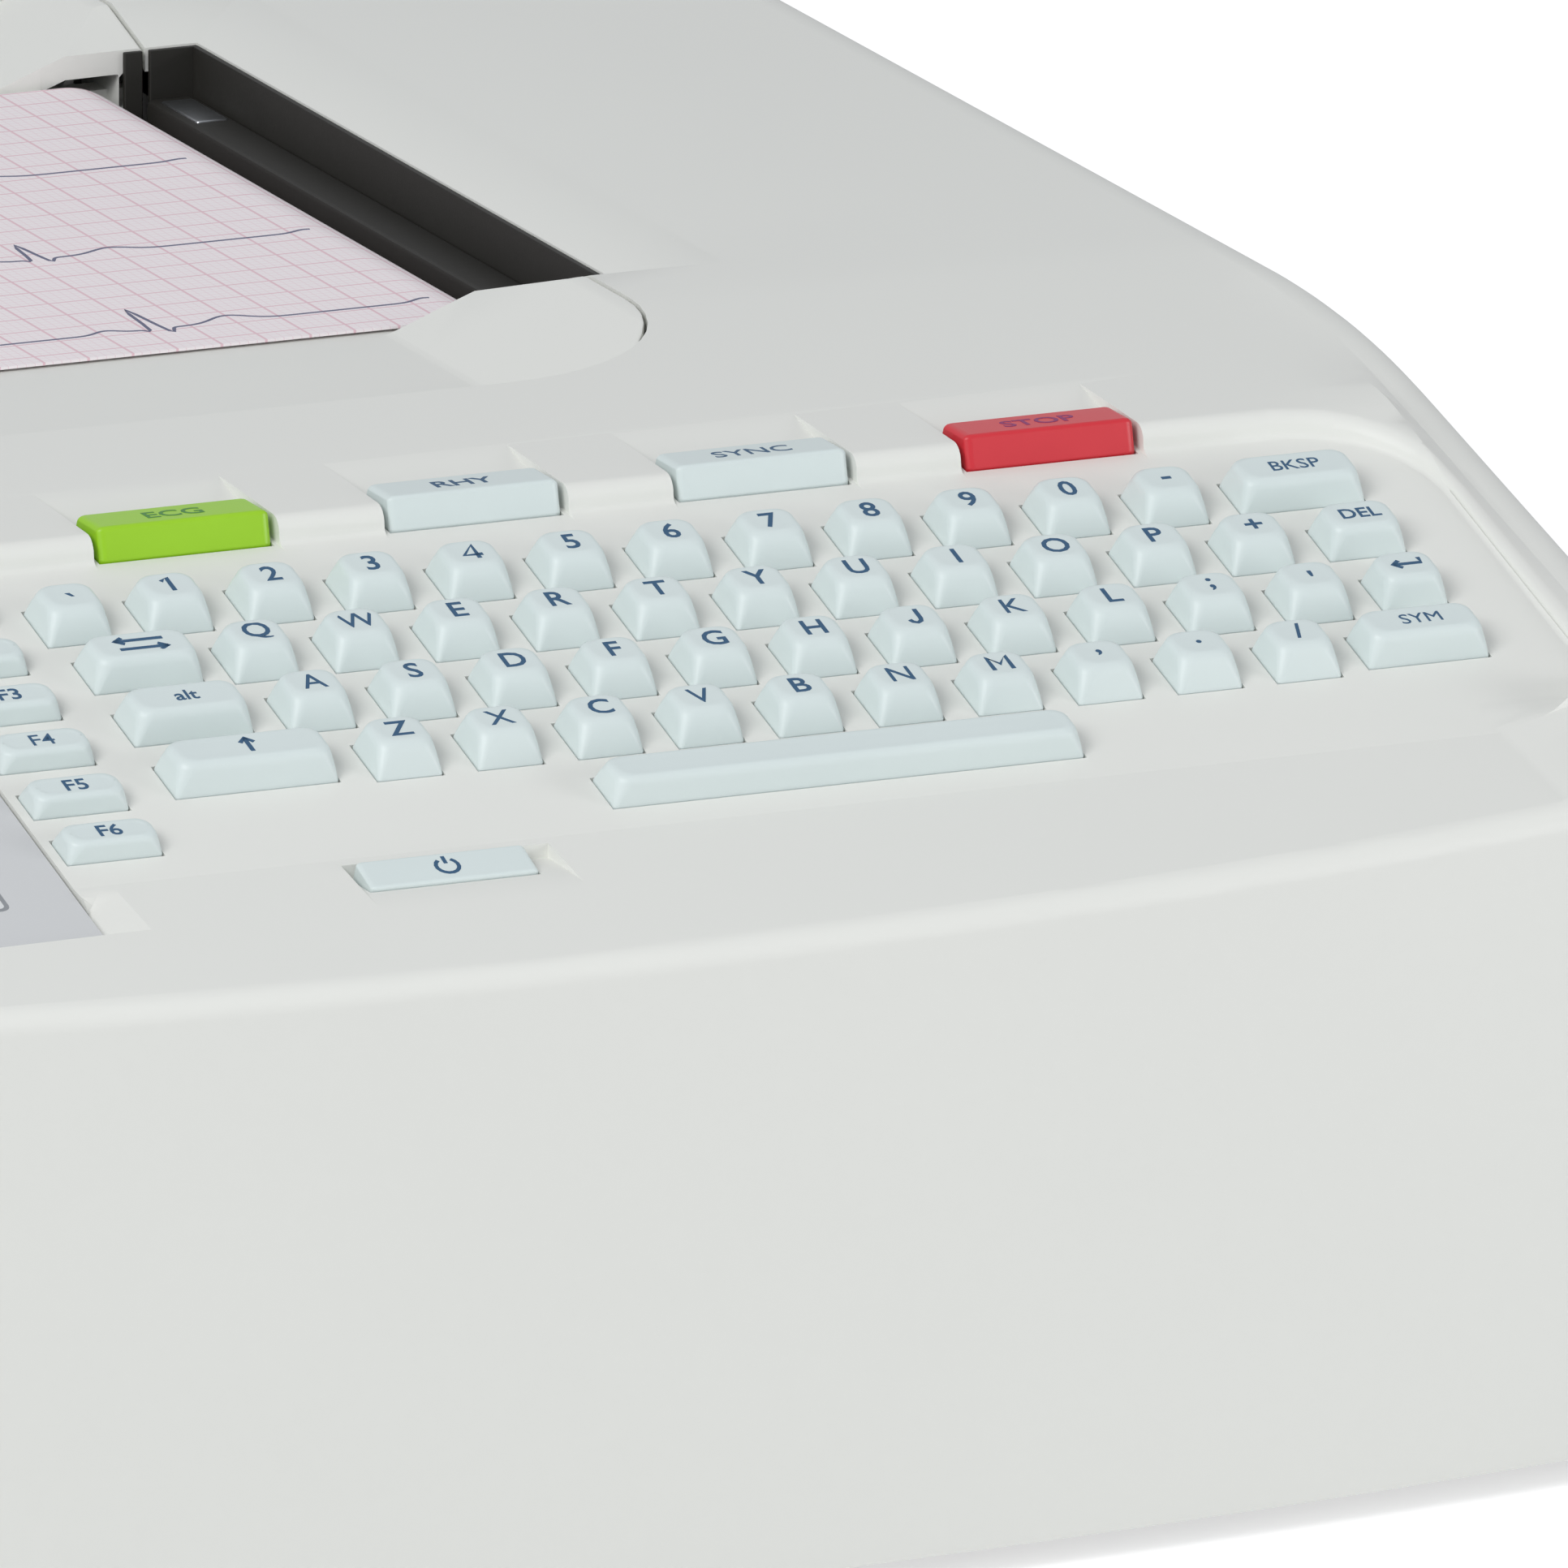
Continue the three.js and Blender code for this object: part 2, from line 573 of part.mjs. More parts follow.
// The front of a wide cap is steeper than that of a square one, by the trim
function rowCap(u0, u1, row, trim) {
  const v0 = rowV(row) - key.baseDepth / 2;
  return cap(u0, u1, v0 + trim, v0 + key.baseDepth, key.height, capInset, capFront - trim, capBack);
}

function rowHole(u0, u1, row, trim) {
  const v0 = rowV(row) - key.baseDepth / 2;
  return keyHole(u0, u1, v0 + trim, v0 + key.baseDepth);
}

const keyholes = [];
const keySolids = {};

function placeKey(name, solid, hole) {
  keySolids[name] = onBoard(solid);
  keyholes.push(hole);
}

// The caps of a row share one flange strip
Object.entries(keyRows).forEach(([name, row], index) => {
  const spans = [];
  for (let i = 0; i < row.count; i += 1) {
    const u = (row.firstShare + i) * key.pitch;
    spans.push([u - key.baseWidth / 2, u + key.baseWidth / 2, 0]);
  }
  if (row.endTo) spans.push([row.endFrom, row.endTo, key.wideTrim]);
  const caps = spans.map(([u0, u1, trim]) => rowCap(u0, u1, index, trim));
  const holes = spans.map(([u0, u1, trim]) => rowHole(u0, u1, index, trim));
  const v0 = rowV(index) - key.baseDepth / 2;
  const strip = flangeUnder(spans[0][0], spans[spans.length - 1][1], v0, v0 + key.baseDepth);
  placeKey(name, joined([...caps, strip]), joined(holes));
});

Object.entries(wideKeys).forEach(([name, { row, from, to }]) => {
  const v0 = rowV(row) - key.baseDepth / 2;
  const flange = flangeUnder(from, to, v0, v0 + key.baseDepth);
  placeKey(name, rowCap(from, to, row, key.wideTrim).add(flange), rowHole(from, to, row, key.wideTrim));
});

// A key with the same inset on all four sides
function evenKey(name, u0, u1, v0, v1, height, inset) {
  const solid = cap(u0, u1, v0, v1, height, inset, inset, inset).add(flangeUnder(u0, u1, v0, v1));
  placeKey(name, solid, keyHole(u0, u1, v0, v1));
}

const barFront = spaceBar.v - spaceBar.depth / 2;
const barBack = spaceBar.v + spaceBar.depth / 2;
evenKey('space_bar', spaceBar.from, spaceBar.to, barFront, barBack, spaceBar.height, spaceBar.topInset);

for (let i = 0; i < sideKeys.count; i += 1) {
  const v0 = sideKeys.firstFront - i * sideKeys.pitch;
  evenKey(`f${i + 1}_key`, sideKeys.uFrom, sideKeys.uTo, v0, v0 + sideKeys.depth, sideKeys.height, sideKeys.topInset);
}

// A long key with a sloped profile, standing in its hole
function barKey(u0, u1, profile, v0, v1, chamfer) {
  const body = prismX([[v1, flangeTop], ...profile, [v0, flangeTop]], u0, u1);
  const top = Math.max(...profile.map(([, w]) => w));
  const lead = (u, side) => prismY([[u - side * chamfer, top + chamfer], [u + side * chamfer, top + chamfer],
    [u + side * chamfer, top - chamfer * 2]], v0 - over, v1 + over);
  return body.subtract(lead(u1, 1)).subtract(lead(u0, -1)).add(flangeUnder(u0, u1, v0, v1));
}

const notches = [];

// Behind each function key the crown falls towards the key
functionKeys.names.forEach((name, i) => {
  const centre = functionKeys.first + i * functionKeys.pitch;
  const u0 = centre - functionKeys.width / 2;
  const u1 = centre + functionKeys.width / 2;
  const { vFront, vFold, vBack, foldRise, backRise, notchBackY, notchDrop, notchToe, notchSide } = functionKeys;
  const profile = [[vBack, backRise], [vFold, foldRise], [vFront, 0]];
  placeKey(name, barKey(u0, u1, profile, vFront, vBack, functionKeys.chamfer), keyHole(u0, u1, vFront, vBack));
  const top = machine.plateauHeight + over;
  const keyY = board.y + vBack * Math.cos(tilt);
  const frontEnd = board.recessTopY - over;
  const wedge = [
    [notchBackY, top], [notchBackY, slopeHeight(notchBackY)], [keyY, slopeHeight(keyY) - notchDrop],
    [frontEnd, boardHeight(frontEnd) + notchToe], [frontEnd, top],
  ];
  notches.push(prismX(wedge, board.x + u0 - notchSide, board.x + u1 + notchSide));
});

// The power key stands in a notch of the ledge
function powerKeyAndNotch() {
  const { u, width, vFront, vBack, frontRise, backRise, chamfer } = powerKey;
  const { notchU, notchWidth, notchFront, notchBack, notchDepth, notchRise } = powerKey;
  const body = barKey(u - width / 2, u + width / 2, [[vBack, backRise], [vFront, frontRise]], vFront, vBack, chamfer);
  placeKey('power_key', body, keyHole(u - width / 2, u + width / 2, vFront, vBack));
  const high = over * 2;
  const wedge = [[notchBack, high], [notchBack, -notchDepth], [notchFront, notchRise], [notchFront, high]];
  notches.push(onBoard(prismX(wedge, notchU - notchWidth / 2, notchU + notchWidth / 2)));
}

powerKeyAndNotch();

// A sloped facet leads down from the ledge to the corner of the display window
function windowFacet() {
  const u0 = screen.uTo;
  const u1 = screen.uTo + facet.run;
  const high = over * 2;
  const outline = [[u0, screen.vFrom], [u1, screen.vFrom], [u1, facet.rearOuter], [u0, facet.rearInner]];
  const section = [[u0, -facet.drop], [u1, facet.rise], [u1, high], [u0, high]];
  const column = prismZ(outline, -facet.drop, high);
  return onBoard(column.intersect(prismY(section, screen.vFrom, facet.rearOuter)));
}

notches.push(windowFacet());

// Display window, the pocket it lies in and the module behind it
function displayPocket() {
  const { uFrom, uTo, vFrom, vTo, windowThickness, windowSink, border } = screen;
  const depth = windowThickness + windowSink + gap.seat;
  const g = gap.seat;
  const pocket = block(uFrom - g, uTo + g, vFrom - g, vTo + g, -depth, over * 2);
  const view = block(uFrom + border, uTo - border, vFrom + border, vTo - border, -board.panel - over, over);
  return onBoard(pocket.add(view));
}

function displayWindow() {
  const { uFrom, uTo, vFrom, vTo, windowThickness, windowSink } = screen;
  return onBoard(block(uFrom, uTo, vFrom, vTo, -windowSink - windowThickness, -windowSink));
}

function displayModule() {
  const m = screen.moduleBorder;
  const top = -board.panel - gap.seat;
  return onBoard(block(screen.uFrom + m, screen.uTo - m, screen.vFrom + m, screen.vTo - m,
    top - screen.moduleThickness, top));
}

// The elastomer mat under the keys and the circuit board behind it
const mat = { left: -76.4, right: 92, front: -44.5, back: 37.4, thickness: 1.5, keyRoom: 1.5 };
const keypad = { thickness: 1.2, reach: 5.5, bossRadius: 2.4, sideInset: 2.5 };
const matTop = flangeBottom - mat.keyRoom;
const keypadTop = matTop - mat.thickness - gap.seat;

function keypadMat() {
  return onBoard(block(mat.left, mat.right, mat.front, mat.back, matTop - mat.thickness, matTop));
}

function keypadBoard() {
  return onBoard(block(mat.left + keypad.sideInset, mat.right - keypad.sideInset, mat.front - keypad.reach,
    mat.back + keypad.reach, keypadTop - keypad.thickness, keypadTop));
}

// Bosses under the panel that the circuit board is pressed against
function keypadBosses() {
  const inset = keypad.bossRadius + gap.seat;
  const sideInset = inset + keypad.sideInset;
  const acrossPlaces = [mat.left + sideInset, mat.right - sideInset];
  const alongPlaces = [mat.front - keypad.reach + inset, mat.back + keypad.reach - inset];
  const sides = 8;
  return joined(acrossPlaces.flatMap((u) => alongPlaces.map((v) => (
    onBoard(upright(keypad.bossRadius, u, v, keypadTop + gap.seat, -board.panel / 2, sides))))));
}

// Outline of the writer bay seen from above, shared by the housing and the cover
function bayOutline(inset) {
  const right = bay.right - inset;
  const front = bay.front + inset;
  const rear = bay.rear - inset;
  const radius = bay.corner - inset;
  const points = [[right, rear], [-halfWidth - over, rear], [-halfWidth - over, front]];
  const steps = 6;
  for (let i = 0; i <= steps; i += 1) {
    const angle = 1.5 * Math.PI + (i / steps) * Math.PI / 2;
    points.push([right - radius + radius * Math.cos(angle), front + radius + radius * Math.sin(angle)]);
  }
  return points;
}

const slotFront = paper.centreY - paper.width / 2 - slot.spareLength;
const slotRear = paper.centreY + paper.width / 2 + slot.spareLength;

// The pocket round the slot: three bevels that fall towards it and meet in mitres
function slotBevel() {
  const low = machine.plateauHeight - slot.bevelDrop;
  const stretch = (slot.bevelDrop + over) / slot.bevelDrop;
  const reach = slot.bevelWidth * stretch;
  const ring = (spread, z) => [
    [-halfWidth - over, slotFront - spread, z], [slot.right + spread, slotFront - spread, z],
    [slot.right + spread, slotRear + spread, z], [-halfWidth - over, slotRear + spread, z]];
  return loft([ring(0, low), ring(reach, low + slot.bevelDrop + over)]);
}

// Walls and shelves of the bay, which carry the deck of the paper tray
function bayWalls() {
  const right = bay.right - bay.corner;
  const shelfTop = bay.deckTop - bay.deckThickness - gap.seat;
  const low = shelfTop - bay.ledgeThickness;
  const shelfLeft = -halfWidth + machine.wall + machine.sideLean + gap.cover;
  const { front, rear, wallThickness, ledgeWidth, wallTop, sideWallTop } = bay;
  const walls = [front - wallThickness, rear].flatMap((y) => [
    block(-halfWidth + machine.wall, right, y, y + wallThickness, low, sideWallTop),
    block(-halfWidth + machine.shoulderRadius, right, y, y + wallThickness, low, wallTop),
  ]);
  const frontShelf = block(shelfLeft, right, front - wallThickness / 2, front + ledgeWidth, low, shelfTop);
  const rearShelf = block(shelfLeft, right, rear - ledgeWidth, rear + wallThickness / 2, low, shelfTop);
  return joined([...walls, frontShelf, rearShelf]);
}

// The plate is thicker where the bevels round the slot cut into it
function slotLip() {
  const reach = slot.bevelWidth + slot.lipMargin;
  return block(bay.right, slot.right + reach, slotFront - reach, slotRear + reach,
    slot.lipBottom, machine.plateauHeight - machine.wall / 2);
}

function topHousing() {
  const top = machine.plateauHeight + over;
  const places = bossPlaces();
  const postBottom = machine.skirtBottom + base.thickness + gap.seat;
  const postSides = 12;
  const posts = places.map(([x, y, postTop]) => upright(base.bossRadius, x, y, postBottom, postTop, postSides));
  let body = joined([outer.subtract(innerBody()), ...posts, bayWalls(), slotLip(), keypadBosses()]);
  body = body.subtract(prismZ(bayOutline(0), bay.deckTop + bay.deckThickness, top));
  body = body.subtract(block(-halfWidth - over, -halfWidth + machine.wall + machine.sideLean + over,
    bay.front, bay.rear, bay.leftWallTop, top));
  body = body.subtract(block(slot.left, slot.right, slotFront, slotRear, bay.deckTop, top));
  body = body.subtract(joined([slotBevel(), recessBody(), displayPocket(), ...keyholes.map(onBoard), ...notches]));
  const screwEnd = machine.skirtBottom + screw.sink + screw.headHeight + screw.length + gap.seat;
  const bore = screw.radius + screw.clearance;
  body = body.subtract(joined(places.map(([x, y]) => upright(bore, x, y, postBottom - over, screwEnd, postSides))));
  const g = gap.seat;
  return body.subtract(joined(Object.values(sockets).map((s) => block(s.x - s.width / 2 - g, s.x + s.width / 2 + g,
    rearY - machine.wall - over, rearY + over, s.z - s.height / 2 - g, s.z + s.height / 2 + g))));
}

function bossPlaces() {
  const x = halfWidth - base.bossInsetX;
  const front = frontY + base.bossInsetFront;
  const back = rearY - base.bossInsetRear;
  const { frontPostTop, rearPostTop } = base;
  return [[x, front, frontPostTop], [-x, front, frontPostTop], [x, back, rearPostTop], [-x, back, rearPostTop]];
}

// Writer cover: sunken in the middle, level with the housing beside the slot
function writerCover() {
  const top = machine.plateauHeight + over;
  const right = bay.right + over;
  const wall = machine.wall;
  const left = -halfWidth + machine.sideLean + wall;
  const y0 = bay.front + gap.cover + wall;
  const y1 = bay.rear - gap.cover - wall;
  const under = cover.sunkenTop - cover.plate;
  const ramp = [
    [cover.rampTop, machine.plateauHeight], [cover.rampTop, top], [-halfWidth - over, top],
    [-halfWidth - over, cover.sunkenTop], [cover.rampFoot, cover.sunkenTop],
  ];
  const hollow = [
    [cover.rampFoot + wall * 2, under - over], [right, under - over], [right, cover.pocketTop],
    [cover.rampTop + wall, cover.pocketTop], [cover.rampFoot + wall * 2, under],
  ];
  const roomLeft = platen.x - platen.radius + cover.platenRoom;
  const cutters = [
    prismY(ramp, bay.front - over, bay.rear + over),
    slotBevel(),
    block(-halfWidth - over, right, slotFront, slotRear, cover.sunkenTop, top),
    block(left, right, y0, y1, 0, under),
    block(left, right, bay.front - over, bay.rear + over, 0, bay.deckTop + gap.seat),
    prismY(hollow, y0, slotFront - slot.bevelWidth),
    prismY(hollow, slotRear + slot.bevelWidth, y1),
    block(cover.openLeft, right, gearY0 - gap.slide, bay.rear + over, 0, cover.openTop),
    block(roomLeft, right, slotFront, slotRear, 0, top),
  ];
  const shell = outer.intersect(prismZ(bayOutline(gap.cover), cover.skirtBottom, top)).subtract(joined(cutters));
  const cheeks = cheekSpans().map(([a, b]) => (
    block(cover.cheekLeft, cover.cheekRight, a, b, cover.cheekBottom, under + cover.plate / 2)));
  const boreSides = 20;
  const bores = cheekSpans().map(([a, b]) => (
    alongY(platen.bearingRadius + gap.seat, platen.x, platenZ(), a - over / 2, b + over / 2, boreSides)));
  const g = gap.slide;
  const window = block(-halfWidth - over, left + over, latch.y - latch.width / 2 - g, latch.y + latch.width / 2 + g,
    latch.z - latch.height / 2 - g, latch.z + latch.height / 2 + g);
  return joined([shell, ...cheeks]).subtract(joined([...bores, window]));
}

function platenZ() {
  return cover.sunkenTop - platen.radius;
}

function cheekSpans() {
  const t = cover.cheekThickness;
  const d = platen.cheekGap;
  return [[slotFront - d - t, slotFront - d], [slotRear + d, slotRear + d + t]];
}

// A spur gear with straight-sided teeth
function spurGear(teeth, x, z, bore, phase) {
  const pitchRadius = teeth * platen.module / 2;
  const radii = [pitchRadius - gear.dedendum, pitchRadius + gear.addendum];
  const points = [];
  for (let i = 0; i < teeth; i += 1) {
    gear.toothTurnShares.forEach((turn, corner) => {
      const angle = phase + (i + turn) * 2 * Math.PI / teeth;
      const atTip = corner === 1 || corner === 2;
      const radius = radii[atTip ? 1 : 0];
      points.push([x + radius * Math.cos(angle), z + radius * Math.sin(angle)]);
    });
  }
  const sides = 14;
  return prismY(points, gearY0, gearY1).subtract(alongY(bore, x, z, gearY0 - over, gearY1 + over, sides));
}

const gearY0 = slotRear + platen.cheekGap + cover.cheekThickness + gap.slide;
const gearY1 = gearY0 + gear.width;

// The pinion's axle lies to the right of the platen, a little lower
function pinionPlace() {
  const angle = THREE.MathUtils.degToRad(pinion.angle);
  const distance = (platen.teeth + pinion.teeth) * platen.module / 2;
  return { x: platen.x + distance * Math.cos(angle), z: platenZ() + distance * Math.sin(angle), angle };
}

function tube(outerRadius, innerRadius, x, z, y0, y1) {
  return alongY(outerRadius, x, z, y0, y1).subtract(alongY(innerRadius, x, z, y0 - over, y1 + over));
}

function platenParts() {
  const { x, radius, shaftRadius, bearingRadius, teeth } = platen;
  const z = platenZ();
  const bore = shaftRadius + gap.seat;
  const at = pinionPlace();
  const halfTooth = Math.PI / pinion.teeth;
  return {
    roller: tube(radius, bore, x, z, slotFront + gap.slide, slotRear - gap.slide),
    shaft: alongY(shaftRadius, x, z, cheekSpans()[0][0], gearY1 + gap.seat),
    bearings: cheekSpans().map(([a, b]) => tube(bearingRadius, bore, x, z, a, b)),
    gear: spurGear(teeth, x, z, bore, at.angle),
    pinion: spurGear(pinion.teeth, at.x, at.z, pinion.bore + gap.seat, at.angle + Math.PI + halfTooth),
  };
}

const ceiling = machine.plateauHeight - machine.wall - gap.seat;
const motorPlateY = gearY1 + gap.slide;

function stepperMotor() {
  const { x, z } = pinionPlace();
  const bodyY = motorPlateY + frame.thickness + gap.seat;
  const can = alongY(motor.radius, x, z, bodyY, bodyY + motor.length);
  return can.add(alongY(motor.shaftRadius, x, z, gearY0, bodyY + motor.shaftRoot));
}

// One folded sheet under the ceiling that carries the print head and the motor
function writerFrame() {
  const { thickness, headX, headBottom, jogX, jogDrop, footWidth, motorHalfWidth, motorDrop } = frame;
  const { x, z } = pinionPlace();
  const y0 = slotFront + gap.slide;
  const y1 = slotRear - gap.slide;
  const jogZ = ceiling - jogDrop;
  const plateY1 = motorPlateY + thickness;
  const sheet = joined([
    block(headX, headX + thickness, y0, y1, headBottom, jogZ),
    block(headX, jogX + thickness, y0, y1, jogZ - thickness, jogZ),
    block(jogX, jogX + thickness, y0, y1, jogZ - thickness, ceiling),
    block(jogX, jogX + footWidth, y0, plateY1, ceiling - thickness, ceiling),
    block(x - motorHalfWidth, jogX + footWidth, motorPlateY, plateY1, ceiling - motorDrop, ceiling),
  ]);
  const coverRoom = block(x - motorHalfWidth - over, bay.right + gap.slide, motorPlateY - over, plateY1 + over,
    cover.openTop - gap.slide, ceiling + over);
  const axleHole = alongY(motor.shaftRadius + motor.holeSpare, x, z, motorPlateY - over, plateY1 + over);
  return sheet.subtract(coverRoom).subtract(axleHole);
}

// The thermal head presses the paper on the platen
const headLeft = platen.x + platen.radius + gap.seat + paper.thickness + head.paperGap;
const headRight = headLeft + head.thickness;

function printHead() {
  const y0 = slotFront + gap.slide;
  const y1 = slotRear - gap.slide;
  const bar = block(headLeft, headRight, y0, y1, head.bottom, head.top);
  const sides = 8;
  const stripe = alongY(head.stripeRadius, headLeft + head.stripeRadius, platenZ() + head.stripeRise, y0, y1, sides);
  return bar.add(stripe);
}

function printHeadSpring() {
  const z = (head.bottom + head.top) / 2;
  const sides = 12;
  return alongX(headSpring.radius, paper.centreY, z, headRight + gap.seat, frame.headX - gap.seat, sides)
    .subtract(alongX(headSpring.bore, paper.centreY, z, headRight, frame.headX, sides));
}

// Paper tray hung from its deck, with the ribs that guide the writer cover
function paperTray() {
  const deckLow = bay.deckTop - bay.deckThickness;
  const y0 = slotFront - gap.slide;
  const y1 = slotRear + gap.slide;
  const t = tray.wall;
  const left = -halfWidth + machine.wall + machine.sideLean + gap.seat;
  const top = bay.deckTop + over;
  const deck = block(left, tray.cornerLeft, bay.front + gap.seat, bay.rear - gap.seat, deckLow, bay.deckTop);
  const shell = block(tray.left - t, tray.right + t, y0 - t, y1 + t, tray.floor, bay.deckTop);
  const hollow = block(tray.left, tray.right, y0, y1, tray.floor + t, top);
  const inner = machine.wall + gap.cover + gap.seat;
  const ribTop = cover.sunkenTop - cover.plate - gap.seat;
  const ribPlaces = [bay.front + inner, bay.rear - inner - rail.thickness];
  const ribs = ribPlaces.map((y) => (
    block(rail.left, rail.left + rail.length, y, y + rail.thickness, deckLow, ribTop)));
  return joined([deck, shell, ...ribs]).subtract(hollow);
}

function paperStack() {
  const half = paper.width / 2;
  const floor = tray.floor + tray.wall + gap.seat;
  return block(paper.stackLeft, paper.stackLeft + paper.foldLength, paper.centreY - half, paper.centreY + half,
    floor, floor + paper.stackHeight);
}

function paperWeb() {
  const half = paper.width / 2;
  const t = paper.thickness;
  const z = platenZ();
  const r = platen.radius + gap.seat;
  const steps = 7;
  const outerArc = [];
  const innerArc = [];
  for (let i = 0; i <= steps; i += 1) {
    const angle = (Math.PI / 2) * (1 - i / steps);
    outerArc.push([platen.x + (r + t) * Math.cos(angle), z + (r + t) * Math.sin(angle)]);
    innerArc.push([platen.x + r * Math.cos(angle), z + r * Math.sin(angle)]);
  }
  const stackTop = tray.floor + tray.wall + gap.seat + paper.stackHeight + gap.seat;
  const endX = paper.stackLeft + paper.foldLength - t;
  const dropShares = [[0.98, 0.78], [0.86, 0.5], [0.6, 0.24], [0.28, 0.06]];
  const tailShares = [0.8, 0.5];
  const drop = dropShares.map(([run, rise]) => [
    endX + run * (platen.x + r - endX), stackTop + rise * (z - stackTop)]);
  const tail = drop.map(([x, zz]) => [x + t * tailShares[0], zz - t * tailShares[1]]);
  const outerLine = [[paper.endX, z + r + t], ...outerArc, ...tail, [endX, stackTop]];
  const back = [...innerArc, ...drop].reverse();
  const innerLine = [[endX, stackTop + t], ...back, [paper.endX, z + r]];
  return prismY([...outerLine, ...innerLine], paper.centreY - half, paper.centreY + half);
}

// The button that frees the cover, with a lip that stops it falling out
function latchButton() {
  const x0 = -halfWidth + latch.inset;
  const x1 = x0 + latch.depth;
  const halfY = latch.width / 2;
  const halfZ = latch.height / 2;
  const body = block(x0, x1, latch.y - halfY, latch.y + halfY, latch.z - halfZ, latch.z + halfZ);
  const lip = block(x1, x1 + latch.lipThickness, latch.y - halfY - latch.lip, latch.y + halfY + latch.lip,
    latch.z - halfZ - latch.lip, latch.z + halfZ + latch.lip);
  return body.add(lip);
}

// Base pan with its rim, posts and socket supports
function baseHousing() {
  const z0 = machine.skirtBottom;
  const z1 = z0 + base.thickness;
  const middle = (z0 + z1) / 2;
  const inset = machine.wall + gap.base;
  const g = gap.seat;
  const rimTop = z1 + base.rimHeight;
  const pan = footprintBody(z0, rimTop, inset).subtract(footprintBody(z1, rimTop + over, inset + base.rimThickness));
  const { postRadius, postInset } = mainBoard;
  const postsAt = (acrossPlaces, alongPlaces, postTop) => acrossPlaces.flatMap((x) => alongPlaces.map((y) => (
    upright(postRadius, x, y, middle, postTop))));
  const boardPosts = postsAt([mainBoard.left + postInset, mainBoard.right - postInset],
    [mainBoard.front + postInset, mainBoard.back - postInset], mainBoard.bottom - g);
  const trayPosts = postsAt([tray.left + postInset, tray.right - postInset],
    [slotFront + postInset, slotRear - postInset], tray.floor - g);
  const socketList = Object.values(sockets);
  const socketSeats = socketList.map((s) => block(s.x - s.width / 2, s.x + s.width / 2, rearY - s.depth,
    rearY - inset - base.rimThickness / 2, middle, s.z - s.height / 2 - g));
  const body = joined([pan, ...boardPosts, ...trayPosts, ...socketSeats]);
  const socketRoom = socketList.map((s) => block(s.x - s.width / 2 - g, s.x + s.width / 2 + g, rearY - s.depth - g,
    rearY + over, s.z - s.height / 2 - g, s.z + s.height));
  const counterbore = z0 + screw.sink + screw.headHeight + g;
  const screwHoles = bossPlaces().flatMap(([x, y]) => [
    upright(screw.radius + screw.clearance, x, y, z0 - over, z1 + over),
    upright(screw.headRadius + screw.clearance, x, y, z0 - over, counterbore),
    upright(base.bossRadius + g, x, y, z1, rimTop + over),
  ]);
  const footTop = z0 + foot.sink + g;
  const footHoles = footPlaces().map(([x, y]) => upright(foot.radius + g, x, y, z0 - over, footTop, foot.sides));
  const m = battery.hatchMargin;
  const { x0, x1, y0, y1 } = batteryHatch(g);
  const hatchHole = block(x0, x1, y0, y1, z0 - over, z0 + battery.hatchThickness + g);
  const packHole = block(x0 + m, x1 - m, y0 + m, y1 - m, z0 - over, z1 + over);
  return body.subtract(joined([...socketRoom, ...screwHoles, ...footHoles, hatchHole, packHole]));
}

function footPlaces() {
  const x = halfWidth - foot.insetX;
  return [[x, frontY + foot.insetY], [-x, frontY + foot.insetY], [x, rearY - foot.insetY], [-x, rearY - foot.insetY]];
}

function batteryHatch(spare) {
  const reach = battery.hatchMargin + gap.slide + spare;
  return {
    x0: battery.x - battery.length / 2 - reach, x1: battery.x + battery.length / 2 + reach,
    y0: battery.y - battery.width / 2 - reach, y1: battery.y + battery.width / 2 + reach,
  };
}

function batteryCover() {
  const { x0, x1, y0, y1 } = batteryHatch(0);
  return block(x0, x1, y0, y1, machine.skirtBottom, machine.skirtBottom + battery.hatchThickness);
}

function batteryPack() {
  const m = battery.length / 2;
  const n = battery.width / 2;
  const z0 = machine.skirtBottom + battery.hatchThickness + gap.seat;
  return block(battery.x - m, battery.x + m, battery.y - n, battery.y + n, z0, z0 + battery.height);
}

function housingScrew([x, y]) {
  const z0 = machine.skirtBottom + screw.sink;
  const z1 = z0 + screw.headHeight;
  return upright(screw.headRadius, x, y, z0, z1).add(upright(screw.radius, x, y, (z0 + z1) / 2, z1 + screw.length));
}

function rubberFoot([x, y]) {
  return upright(foot.radius, x, y, 0, machine.skirtBottom + foot.sink, foot.sides);
}

function mainBoardSolid() {
  return block(mainBoard.left, mainBoard.right, mainBoard.front, mainBoard.back,
    mainBoard.bottom, mainBoard.bottom + mainBoard.thickness);
}

function powerSupply() {
  const z0 = machine.skirtBottom + base.thickness + gap.seat;
  return block(supply.left, supply.right, supply.front, supply.back, z0, z0 + supply.height);
}

function speakerSolid() {
  const z0 = machine.skirtBottom + base.thickness + gap.seat;
  const { radius, neck, rim, shoulder, height } = speaker;
  const profile = [[0, 0], [radius, 0], [radius, rim], [neck, shoulder], [neck, height], [0, height]];
  const sides = 20;
  const geometry = new THREE.LatheGeometry(profile.map(([r, h]) => new THREE.Vector2(r, h)), sides);
  geometry.rotateX(Math.PI / 2);
  geometry.translate(speaker.x, speaker.y, z0);
  return solidOf(geometry);
}

